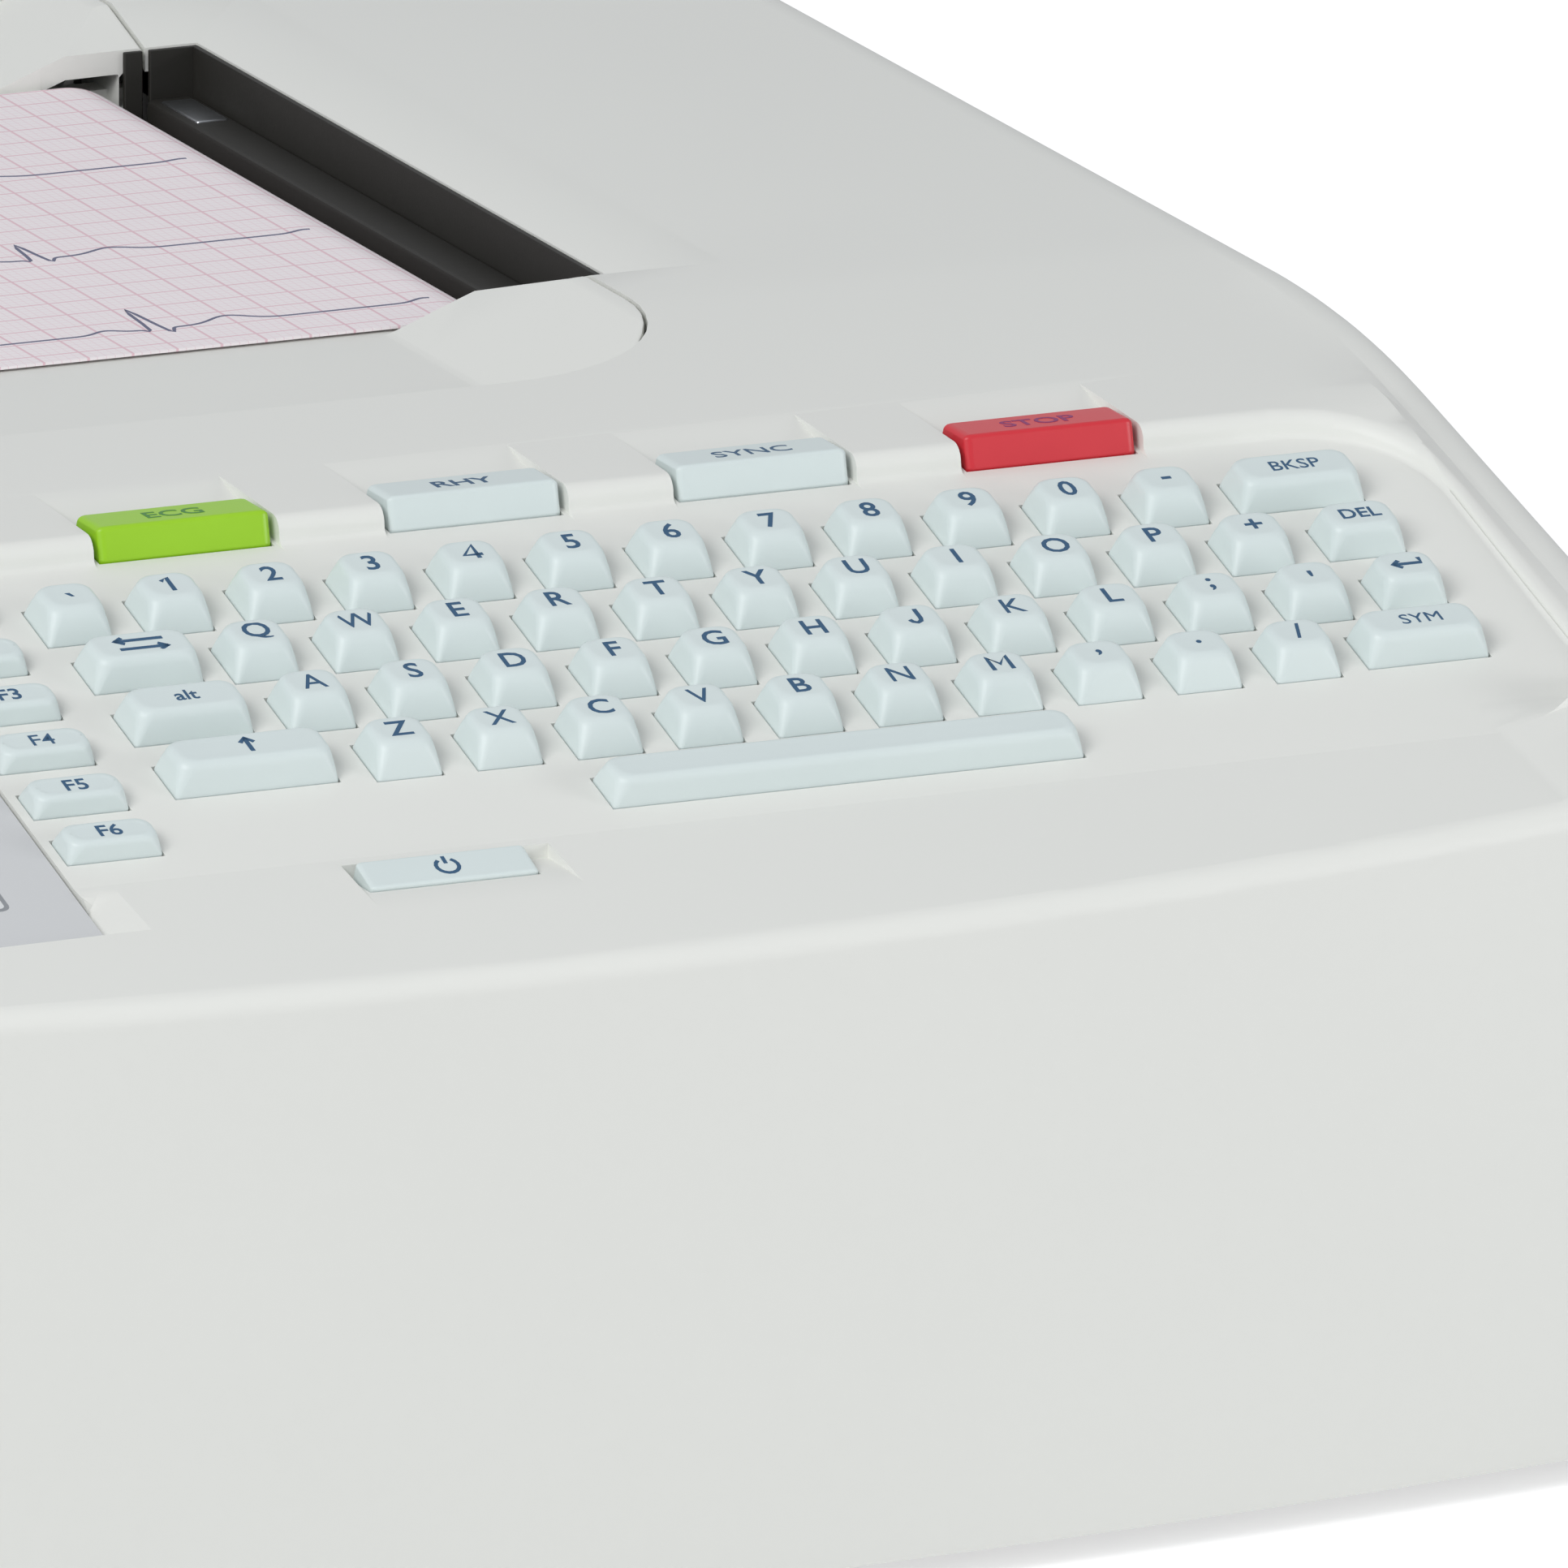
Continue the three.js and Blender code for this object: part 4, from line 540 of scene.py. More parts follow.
@dataclass(frozen=True)
class Casing:
    """Sizes of the casing's outer surface."""

    half: float = 145.0
    front: float = -158.0
    rear: float = 158.0
    top: float = 96.3
    ridge: float = 68.1
    skirt: float = 3.0
    wall: float = 2.6
    side_lean: float = 1.2
    front_lean: float = 4.5
    bow: float = 770.0
    front_corner: float = 24.0
    rear_corner: float = 12.0
    shoulder: float = 8.0
    crease: float = -9.5
    crest: float = -65.0
    crest_height: float = 93.6
    flat_half: float = 118.0
    rim_half: float = 132.0
    rim_rise: float = 1.8
    side_places: tuple[float, ...] = (-160.0, -50.0, -40.0, -26.0, 160.0)
    side_heights: tuple[float, ...] = (66.48, 93.3, 95.1, 96.3, 96.3)
    ledge_tilt: float = 11.4
    ledge_half: float = 117.0
    side_rise: float = 0.25
    crease_round: float = 0.16
    side_spread: float = 5.0
    corner_steps: int = 12
    bow_steps: int = 30

    @property
    def ridge_y(self) -> float:
        """Where the front ridge lies."""
        return self.front + self.front_lean

    def middle(self, y: np.ndarray) -> np.ndarray:
        """Returns the height of the crown in the middle, soft at the crease."""
        slope = self.top + (y - self.crease) * (self.top - self.crest_height) / (self.crease - self.crest)
        return soft_min(np.full_like(y, self.top), slope, self.crease_round)

    def ledge(self, y: np.ndarray | float) -> np.ndarray | float:
        """Returns the height of the ledge in front of the keyboard."""
        return self.ridge + (y - self.ridge_y) * math.tan(math.radians(self.ledge_tilt))

    def side(self, y: np.ndarray) -> np.ndarray:
        """Returns the height of the shoulders, averaged over a few places so its bends are soft."""
        shifts = np.linspace(-self.side_spread, self.side_spread, 11)
        return sum(np.interp(y + s, self.side_places, self.side_heights) for s in shifts) / len(shifts)

    def outline(self, low: bool) -> np.ndarray:
        """Returns the outline seen from above, at the foot of the walls or at their top."""
        half = self.half if low else self.half - self.side_lean
        front = self.front if low else self.ridge_y
        corner, bow = self.front_corner, self.bow
        reach = math.asin((half - corner) / (bow - corner))
        middle = front + bow
        rise = middle - (bow - corner) * math.cos(reach)
        r, n, turn = self.rear_corner, self.corner_steps, math.pi / 2 - reach
        points = quarter(half - r, self.rear - r, r, 0, 10) + quarter(r - half, self.rear - r, r, 1, 10)
        for a in [math.pi + i / n * turn for i in range(n + 1)]:
            points.append((corner - half + corner * math.cos(a), rise + corner * math.sin(a)))
        for a in [reach * (2 * i / self.bow_steps - 1) for i in range(1, self.bow_steps)]:
            points.append((bow * math.sin(a), middle - bow * math.cos(a)))
        for a in [1.5 * math.pi + reach + i / n * turn for i in range(n + 1)]:
            points.append((half - corner + corner * math.cos(a), rise + corner * math.sin(a)))
        return np.array(points)


@dataclass(frozen=True)
class Board:
    """The tilted plane that the keys stand on; u runs across, v up the slope, w out of it."""

    x: float = 35.0
    y: float = -94.8
    z: float = 82.9
    tilt: float = 16.5
    panel: float = 2.6
    recess_half: float = 132.0
    recess_top: float = -68.0
    rear_corner: float = 14.0
    front_corner: float = 10.0
    window_u: Span = (-162.0, -75.3)
    window_v: Span = (-42.6, 26.5)

    @property
    def frame(self) -> tuple[float, float]:
        """The tilt's cosine and sine."""
        return math.cos(math.radians(self.tilt)), math.sin(math.radians(self.tilt))

    def place(self, points: Iterable[Sequence[float]]) -> list[Triple]:
        """Returns points of the keyboard plane in the machine's own axes."""
        c, s = self.frame
        return [(self.x + u, self.y + v * c - w * s, self.z + v * s + w * c) for u, v, w in points]

    def height(self, y: np.ndarray | float) -> np.ndarray | float:
        """Returns the height of the keyboard floor."""
        return self.z + (y - self.y) * math.tan(math.radians(self.tilt))

    def column(self, u0: float, u1: float, v0: float, v1: float, sink: float = 0.0) -> list[Point]:
        """Returns the corners of a hole, seen from above, anticlockwise from the right rear."""
        c, s = self.frame
        rear, front = self.y + v1 * c - sink * s, self.y + v0 * c
        return [(self.x + u1, rear), (self.x + u0, rear), (self.x + u0, front), (self.x + u1, front)]


@dataclass(frozen=True)
class KeySizes:
    """Sizes of the key caps and where they stand on the keyboard plane."""

    pitch: float = 11.08
    row_pitch: float = 10.57
    middle_row: float = 1.554
    base: float = 7.2
    top_u: float = 5.8
    top_v: float = 5.0
    shift: float = 0.7
    height: float = 3.4
    wide_trim: float = 0.8
    space: tuple[float, float, float, float] = (-14.2, 37.9, -28.7, -22.7)
    space_height: float = 3.0
    side: tuple[float, float] = (-73.8, -63.4)
    side_first: float = 17.3
    side_pitch: float = 9.1
    side_depth: float = 4.8
    side_height: float = 2.2
    power: tuple[float, float, float, float] = (-45.3, -26.9, -39.5, -34.8)
    gap: float = 0.16
    bar_first: float = -38.1
    bar_pitch: float = 32.15
    bar_half: float = 9.5
    bar_front: float = 28.0
    bar_back: float = 35.2

    def row_v(self, row: int) -> float:
        """Returns the middle of a row."""
        return (self.middle_row - row) * self.row_pitch

    def bar_places(self) -> list[float]:
        """Returns the middles of the four function keys."""
        return [self.bar_first + i * self.bar_pitch for i in range(4)]


@dataclass(frozen=True)
class Writer:
    """Sizes of the writer bay, its cover and the paper slot."""

    right: float = 72.0
    front: float = -32.0
    rear: float = 144.0
    corner: float = 24.0
    left_top: float = 66.8
    wall_top: float = 94.0
    side_wall_top: float = 84.0
    sunken: float = 89.7
    ramp_foot: float = 53.0
    ramp_top: float = 70.0
    skirt: float = 67.2
    plate: float = 2.6
    slot_left: float = 60.0
    slot_right: float = 78.0
    slot_front: float = 11.0
    slot_rear: float = 121.0
    bevel: float = 9.0
    bevel_drop: float = 2.8
    platen_x: float = 62.0
    platen_z: float = 81.7
    shelf: float = 68.0
    outside: float = -160.0

    def ramp(self, x: np.ndarray, top: float) -> np.ndarray:
        """Returns the height of the cover's ramp, as if it ran on past its foot and its top."""
        return self.sunken + (x - self.ramp_foot) * (top - self.sunken) / (self.ramp_top - self.ramp_foot)

    def outline(self, gap: float, left: float) -> list[Point]:
        """Returns the outline of the bay, or of what fills it with a gap all round, up to a place on the left."""
        r, y = self.corner, self.front
        return [(self.right - gap, self.rear - gap), (left, self.rear - gap), (left, y + gap),
                *quarter(self.right - r, y + r, r - gap, 3, 12)]

    def bevels(self, at: np.ndarray, top: float) -> np.ndarray:
        """Returns the height of the slopes that fall towards the slot from three sides."""
        x, y = at[:, 0], at[:, 1]
        away = np.maximum(np.maximum(x - self.slot_right, self.slot_front - y), y - self.slot_rear)
        return top - self.bevel_drop + np.maximum(away, 0) * self.bevel_drop / self.bevel


CASE_SIZES = Casing()
PLANE = Board()
KEYS = KeySizes()
WRITER = Writer()


def rounding(radius: float, depth: np.ndarray) -> np.ndarray:
    """Returns how far a rounded edge falls below its flat at a depth from the edge."""
    inside = np.clip(radius - depth, 0, radius)
    return radius - np.sqrt(radius ** 2 - inside ** 2)


def frame_line(x0: float, x1: float, y0: float, y1: float) -> np.ndarray:
    """Returns a closed rectangular constraint line."""
    return np.array([(x1, y1), (x0, y1), (x0, y0), (x1, y0)])


def grid_lines(places: Iterable[float], across: bool, low: float, high: float) -> list[np.ndarray]:
    """Returns straight constraint lines at the given places."""
    if across:
        return [np.array([(low, p), (high, p)]) for p in places]
    return [np.array([(p, low), (p, high)]) for p in places]


# ---------------------------------------------------------------- casing


def around(low: float, step: float, count: int) -> list[float]:
    """Returns evenly spaced places."""
    return [low + step * i for i in range(count)]


@dataclass
class TopHousing:
    """The moulded upper casing with its crown, keyboard recess, ledge and writer bay."""

    case: Casing = CASE_SIZES
    plane: Board = PLANE
    keys: KeySizes = KEYS
    writer: Writer = WRITER
    recess_round: float = 1.7
    recess_fade: float = 8.0
    recess_wall: float = 0.06
    foot_round: float = 0.7
    foot_start: float = 4.0
    ledge_round: float = 2.2
    ledge_soft: float = 0.7
    ledge_climb: float = 1.2
    ridge_start: float = -112.0
    ridge_fade: float = 16.0
    rim_soft: float = 0.8
    rim_fall: float = 4.2
    rise_fade: float = 5.0
    pocket_gap: float = 0.3
    notch_side: float = 0.7
    notch_back: float = -52.0
    notch_drop: float = 1.9
    notch_foot: float = 0.2
    wall_width: float = 0.06
    power_u: Span = (-46.3, -23.7)
    power_back: Span = (-127.41, 71.88)
    power_front: Span = (-137.80, 71.73)
    power_bend: float = -136.2
    corner_width: float = 4.4
    corner_low: float = -1.2
    corner_rise: float = 2.2
    corner_v: Span = (-43.4, -36.2)
    corner_slant: float = 4.1
    push_depth: float = 9.0
    push_drop: float = 0.8
    level_from: float = -50.0
    level_fade: float = 8.0
    bay_wall: float = 2.5

    def __post_init__(self) -> None:
        """Works out the outlines that shape the surface."""
        c, p = self.case, self.plane
        self.top_line = c.outline(low=False)
        self.foot_line = c.outline(low=True)
        self.edge = Loop(self.top_line)
        half = c.half - c.side_lean
        self.shoulders = Loop(rounded_box(-half, half, -400, c.rear, [c.rear_corner, c.rear_corner, 1, 1], 10))
        tan = math.tan(math.radians(p.tilt)) - math.tan(math.radians(c.ledge_tilt))
        self.meet = (c.ledge(0.0) - p.height(0.0)) / tan
        self.recess = Loop(rounded_box(-p.recess_half, p.recess_half, self.meet, p.recess_top,
                                       [p.rear_corner, p.rear_corner, p.front_corner, p.front_corner], 10))
        self.bay = Loop(self.writer.outline(0.0, self.writer.outside))
        self.holes = self.hole_loops()

    def hole_loops(self) -> list[Loop]:
        """Returns the outlines of the keyholes, the window's pocket and the paper slot."""
        p, w, found = self.plane, self.writer, []
        for (u0, u1, v0, v1) in Keyboard().places():
            g, sink = self.keys.gap, -0.9 if v1 > 30 else 0.0
            found.append(Loop(p.column(u0 - g, u1 + g, v0 - g, v1 + g, sink)))
        (u0, u1), (v0, v1), g = p.window_u, p.window_v, self.pocket_gap
        found.append(Loop(p.column(u0 - g, u1 + g, v0 - g, v1 + g)))
        found.append(Loop(rounded_box(50, w.slot_right, w.slot_front, w.slot_rear, [0.01] * 4, 1)))
        return found

    def height(self, at: np.ndarray) -> np.ndarray:
        """Returns the height of the outer surface at plan points."""
        c, p = self.case, self.plane
        x, y = np.abs(at[:, 0]), at[:, 1]
        middle, side = c.middle(y), c.side(y)
        rim = np.where(y > c.crease, middle, soft_min(middle, p.height(y) + c.rim_rise, self.rim_soft))
        share = (x - c.flat_half) / (c.rim_half - c.flat_half)
        crown = np.where(x < c.flat_half, middle, middle + (rim - middle) * share)
        past = np.clip((x - c.rim_half) / self.rim_fall, 0, 1)
        crown = np.where(x > c.rim_half, rim + (side - rim) * past, crown)
        crown = crown - rounding(c.shoulder, self.shoulders.depth(at))
        rise = c.side_rise * np.clip(x - c.ledge_half, 0, None)
        ahead, beyond = y < self.meet, y - self.meet
        depth = self.recess.depth(at)
        near = np.clip(self.recess_round + depth, 0, self.recess_round) * smooth(beyond / self.recess_fade)
        lip = self.recess_round - np.sqrt(self.recess_round ** 2 - near ** 2)
        ledge = c.ledge(y) + rise + np.where(ahead, 0, self.ledge_climb * beyond)
        out = soft_min(crown - lip, ledge, self.ledge_soft)
        floor = np.where(ahead, c.ledge(y), p.height(y)) + rise * np.clip(1 - beyond / self.rise_fade, 0, 1)
        foot = np.where(beyond < self.foot_start, 0, rounding(self.foot_round, depth))
        z = np.where((depth > self.recess_wall) & ~ahead, floor + foot, out)
        z = self.cut_corner(at, self.cut_notches(at, z))
        z = np.minimum(z, self.writer.bevels(at, c.top))
        fade = smooth((self.ridge_start - y) / self.ridge_fade)
        ridge = np.clip(self.ledge_round - self.edge.depth(at), 0, self.ledge_round) * fade
        return z - (self.ledge_round - np.sqrt(self.ledge_round ** 2 - ridge ** 2))

    def cut_notches(self, at: np.ndarray, z: np.ndarray) -> np.ndarray:
        """Returns heights with the hollows behind the function keys and at the power key."""
        p, k = self.plane, self.keys
        x, y = at[:, 0], at[:, 1]
        key_y = p.y + k.bar_back * p.frame[0]
        crown = self.case.middle(np.array([key_y, self.notch_back]))
        places = [p.recess_top - 3, key_y, self.notch_back, 200]
        heights = [p.height(places[0]) + self.notch_foot, crown[0] - self.notch_drop, crown[1], 400]
        for centre in k.bar_places():
            within = (np.abs(x - p.x - centre) < k.bar_half + self.notch_side + 0.02) & (y > places[0])
            z = np.where(within, np.minimum(z, np.interp(y, places, heights)), z)
        (y1, z1), (y0, z0) = self.power_back, self.power_front
        within = (x > p.x + self.power_u[0] - 0.02) & (x < p.x + self.power_u[1] + 0.02) & (y < y1 + 0.02)
        return np.where(within, np.minimum(z, z0 + (y - y0) * (z1 - z0) / (y1 - y0)), z)

    def cut_corner(self, at: np.ndarray, z: np.ndarray) -> np.ndarray:
        """Returns heights with the sloped hollow beside the window's front corner."""
        p = self.plane
        c = p.frame[0]
        u, v = at[:, 0] - p.x - p.window_u[1], (at[:, 1] - p.y) / c
        share = np.clip(u / self.corner_width, -1, 1)
        floor = p.height(at[:, 1]) + (self.corner_low + self.corner_rise * share) / c
        front, back = self.corner_v
        within = (u > -0.02) & (u < self.corner_width + 0.02) & (v > front)
        within &= v < back + self.corner_slant * np.clip(share, 0, 1)
        return np.where(within, np.minimum(z, floor), z)

    def bends(self) -> list[float]:
        """Returns the places along the machine where the surface curves."""
        found = around(-13.9, 2.2, 5) + around(-31, 2.5, 5) + around(-46, 2, 7) + around(-54, 2, 5)
        found += [-58, -61, -63.5, -66, -68, -71, -76, -82, -90, -98, -106, -112, -116, -120, -123, -125, self.meet]
        return found + [self.meet + 5, -128.5, -131, -134, -138, -142, -146, -149, 20, 60, 100, 130]

    def lines(self) -> list[np.ndarray]:
        """Returns every line that the surface bends at."""
        c, w = self.case, self.writer
        found = [self.top_line]
        for a in range(10, 90, 10):
            found.append(self.shoulders.parallel(c.shoulder * (1 - math.cos(math.radians(90 - a)))))
        found.append(self.shoulders.parallel(c.shoulder))
        found += [self.edge.parallel(i) for i in (0.12, 0.4, 0.85, 1.45, 2.2)]
        found += [self.recess.parallel(i) for i in (-1.7, -1.25, -0.8, -0.42, -0.15, -0.03, 0.09, 0.2, 0.42, 0.7)]
        for x in (c.flat_half, c.rim_half, c.rim_half + self.rim_fall, c.ledge_half, 124.5):
            found += grid_lines((x, -x), False, -156, 157.5)
        found += grid_lines(sorted(set(self.bends())), True, -147, 147)
        found += self.notch_lines()
        for spread in (0.0, w.bevel):
            found.append(np.array([(w.slot_right + spread, w.slot_rear + spread), (0, w.slot_rear + spread),
                                   (0, w.slot_front - spread), (w.slot_right + spread, w.slot_front - spread)]))
        b = w.bevel
        found.append(np.array([(w.slot_right, w.slot_front), (w.slot_right + b, w.slot_front - b)]))
        found.append(np.array([(w.slot_right, w.slot_rear), (w.slot_right + b, w.slot_rear + b)]))
        found.append(np.array(w.outline(0.0, w.outside)))
        return found + [h.points for h in self.holes]

    def notch_lines(self) -> list[np.ndarray]:
        """Returns the lines round the notches, doubled so that their walls stand upright."""
        p, k, c = self.plane, self.keys, self.plane.frame[0]
        key_y = p.y + k.bar_back * c
        found = []
        for centre in k.bar_places():
            half = k.bar_half + self.notch_side
            for wide in (0.0, self.wall_width):
                x0, x1 = p.x + centre - half - wide, p.x + centre + half + wide
                found.append(frame_line(x0, x1, p.recess_top - 1.5, self.notch_back))
            found.append(np.array([(p.x + centre - half, key_y), (p.x + centre + half, key_y)]))
        x0, x1 = p.x + self.power_u[0], p.x + self.power_u[1]
        for wide in (0.0, self.wall_width):
            found.append(frame_line(x0 - wide, x1 + wide, self.power_front[0], self.power_back[0] + wide))
        found += grid_lines((self.power_bend,), True, x0, x1)
        u = p.x + p.window_u[1]
        front, back = p.y + self.corner_v[0] * c, p.y + self.corner_v[1] * c
        far = p.y + (self.corner_v[1] + self.corner_slant) * c
        for wide in (0.0, self.wall_width):
            right = u + self.corner_width + wide
            found.append(np.array([(u + 0.35, back + wide), (u + 0.35, front - wide),
                                   (right, front - wide), (right, far + wide)]))
        return found

    def keep(self, at: np.ndarray) -> np.ndarray:
        """Returns which plan points belong to the surface."""
        inside = (self.edge.depth(at) > 0) & ~(self.bay.depth(at) > 0)
        for hole in self.holes:
            inside &= hole.depth(at) < 0
        return inside

    def under(self, top: np.ndarray) -> np.ndarray:
        """Returns the inner side of the wall for points of the outer side."""
        c, p = self.case, self.plane
        at = top[:, :2]
        normal, depth = self.edge.nearest(at)
        near = (self.push_depth - np.clip(depth, 0, self.push_depth)) / self.push_depth
        weight = smooth((self.level_from - at[:, 1]) / self.level_fade)
        cos, sin = p.frame
        moved = at + normal * (near * c.wall)[:, None]
        moved[:, 1] += weight * sin * p.panel
        drop = p.panel * (1 - weight * (1 - cos)) + self.push_drop * near
        return lift(moved, np.minimum(top[:, 2] - drop, c.top - c.wall))

    def foot(self, at: np.ndarray) -> np.ndarray:
        """Returns where the wall under each point of the top outline meets its foot."""
        a, b = self.top_line, np.roll(self.top_line, -1, 0)
        lower, lower_next = self.foot_line, np.roll(self.foot_line, -1, 0)
        edge = b - a
        share = ((at[:, None] - a) * edge).sum(2) / (edge ** 2).sum(1)
        share = np.clip(share, 0, 1)
        gap = np.linalg.norm(at[:, None] - (a + share[..., None] * edge), axis=2)
        nearest = gap.argmin(1)
        t = share[np.arange(len(at)), nearest][:, None]
        return lower[nearest] * (1 - t) + lower_next[nearest] * t

    def drop(self, rim: np.ndarray, inner: np.ndarray) -> tuple[np.ndarray, np.ndarray]:
        """Returns the foot of the outer walls, on both sides."""
        low = self.foot(rim)
        return lift(low, self.case.skirt), lift(low + inner - rim, self.case.skirt)

    def build(self) -> None:
        """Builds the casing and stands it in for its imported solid."""
        solid = Solid()
        skin = Skin(self.height, self.lines(), self.keep, self.under)
        skin.hang(solid, skin.build(solid, HOUSING, self.edge), self.drop)
        self.left_wall(solid)
        self.bay_sides(solid)
        self.window_shelf(solid)
        settle(solid.object("top_casing", 32), Body.MACHINE.value, "top_housing")

    def left_wall(self, solid: Solid) -> None:
        """Adds the low left wall under the bay, and the posts at its ends."""
        c, w = self.case, self.writer
        top, x = w.left_top, -c.half + c.side_lean * (w.left_top - c.skirt) / (c.top - c.skirt)
        strip = [(x, top - 0.4), (x + 0.12, top - 0.12), (x + 0.4, top), (x + c.wall - 0.4, top),
                 (x + c.wall, top - 0.4), (-c.half + c.wall, c.skirt), (-c.half, c.skirt)]
        solid.rings([np.array([(px, y, pz) for px, pz in strip]) for y in (w.front, w.rear)], HOUSING)
        for y0, y1 in ((w.front - self.bay_wall, w.front), (w.rear, w.rear + self.bay_wall)):
            solid.block((-c.half + 1.3, y0, top - 8), (-c.half + 4.5, y1, 88.0), HOUSING, 0.2)

    def bay_sides(self, solid: Solid) -> None:
        """Adds the walls and shelves of the writer bay."""
        c, w = self.case, self.writer
        right, low = w.right - w.corner, w.shelf
        for y0, y1 in ((w.front - self.bay_wall, w.front - 0.02), (w.rear + 0.02, w.rear + self.bay_wall)):
            solid.block((-c.half + 3, y0, low), (right, y1, w.side_wall_top), HOUSING, 0.1)
            solid.block((-c.half + c.shoulder, y0, low), (right, y1, w.wall_top), HOUSING, 0.1)
        for y0, y1 in ((w.front - 1, w.front + 4), (w.rear - 4, w.rear + 1)):
            solid.block((-c.half + 5, y0, low), (right, y1, low + 2.4), HOUSING)

    def window_shelf(self, solid: Solid) -> None:
        """Adds the ledge that carries the display window."""
        (u0, u1), (v0, v1) = self.plane.window_u, self.plane.window_v
        outer = rounded_box(u0 - 0.8, u1 + 0.8, v0 - 0.8, v1 + 0.8, [0.6] * 4, 2)
        inner = rounded_box(u0 + 7, u1 - 7, v0 + 7, v1 - 7, [1.5] * 4, 2)
        n = len(outer)
        rings = [[(u, v, w) for u, v in line] for line, w in
                 ((outer, -1.55), (inner, -1.55), (inner, -2.6), (outer, -2.6))]
        faces = [(a * n + i, b * n + i, b * n + (i + 1) % n, a * n + (i + 1) % n)
                 for a, b in ((0, 1), (1, 2), (2, 3), (3, 0)) for i in range(n)]
        points = self.plane.place([q for ring in rings for q in ring])
        solid.add(points, [f[::-1] for f in faces], HOUSING)


# ---------------------------------------------------------------- lettering


class Lettering:
    """Turns generic words and symbols into thin raised shapes on the keyboard plane."""

    BOLD = 0.014
    LESS_BOLD = 0.003
    FOLDING, FRAIL = set("M"), set("WNAKXV4")
    PROUD = 0.03

    def __init__(self) -> None:
        """Starts with an empty store of shapes."""
        self.store: dict[str, tuple[np.ndarray, Faces]] = {}

    def shape(self, text: str) -> tuple[np.ndarray, Faces]:
        """Returns the flat shape of a word one unit high, centred.

        Args:
            text: the letters.

        Returns:
            Its points and faces.
        """
        if text not in self.store:
            curve = bpy.data.curves.new("lettering", "FONT")
            curve.body = text
            curve.align_x, curve.align_y = "CENTER", "CENTER"
            curve.resolution_u = 3
            curve.offset = self.LESS_BOLD if set(text) & self.FRAIL else self.BOLD
            if set(text) & self.FOLDING:
                curve.offset = 0.0
            curve.fill_mode = "FRONT"
            holder = bpy.data.objects.new("lettering", curve)
            bpy.context.scene.collection.objects.link(holder)
            bpy.context.view_layer.update()
            mesh = holder.to_mesh()
            points = np.array([tuple(v.co)[:2] for v in mesh.vertices], float)
            faces = [tuple(f.vertices) for f in mesh.polygons]
            holder.to_mesh_clear()
            bpy.data.objects.remove(holder)
            bpy.data.curves.remove(curve)
            points -= (points.max(0) + points.min(0)) / 2
            self.store[text] = (points, faces)
        return self.store[text]

    def write(self, solid: Solid, text: str, middle: Point, size: float, w: float, finish: Finish, place: Place,
              stretch: float = 1.0) -> None:
        """Adds a word to a solid.

        Args:
            solid: what it goes into.
            text: the letters.
            middle: where its middle lies.
            size: the height of its type in millimetres.
            w: the height of the surface it stands on.
            finish: its ink.
            place: turns points of the plane into places in the machine.
            stretch: how wide it is against its usual width.
        """
        points, faces = self.shape(text)
        flat = points * (size * stretch, size) + middle
        self.raise_shape(solid, flat, faces, w, finish, place)

    def raise_shape(self, solid: Solid, flat: np.ndarray, faces: Faces, w: float, finish: Finish, place: Place,
                    thickness: float = 0.06) -> None:
        """Adds a flat shape as a thin plate, with its lower side just inside the surface."""
        n = len(flat)
        seen = {(f[i], f[(i + 1) % len(f)]) for f in faces for i in range(len(f))}
        rim = [(a, b) for a, b in seen if (b, a) not in seen]
        points = [(x, y, w + self.PROUD - down) for down in (0.0, thickness) for x, y in flat]
        walls = [(b, a, a + n, b + n) for a, b in rim]
        solid.add(place(points), [*faces, *[tuple(i + n for i in reversed(f)) for f in faces], *walls], finish)

    def strokes(self, solid: Solid, lines: Sequence[Sequence[Point]], middle: Point, width: float, w: float,
                finish: Finish, place: Place) -> None:
        """Adds drawn strokes, such as arrows and the power sign.

        Args:
            solid: what they go into.
            lines: the points of each stroke.
            middle: where the drawing's own origin lies.
            width: how thick a stroke is.
            w: the height of the surface.
            finish: the ink.
            place: turns points of the plane into places in the machine.
        """
        for line in lines:
            at = np.array(line, float) + middle
            step = np.gradient(at, axis=0)
            step /= np.linalg.norm(step, axis=1)[:, None]
            side = np.stack([-step[:, 1], step[:, 0]], 1) * width / 2
            flat = np.concatenate([at + side, at - side])
            n = len(at)
            faces = [(i + 1, i, n + i, n + i + 1) for i in range(n - 1)]
            self.raise_shape(solid, flat, faces, w, finish, place)


LETTERS = Lettering()


def arc(radius: float, start: float, end: float, steps: int = 14) -> list[Point]:
    """Returns points of an arc, in degrees."""
    turns = np.radians(np.linspace(start, end, steps))
    return [(radius * math.cos(a), radius * math.sin(a)) for a in turns]


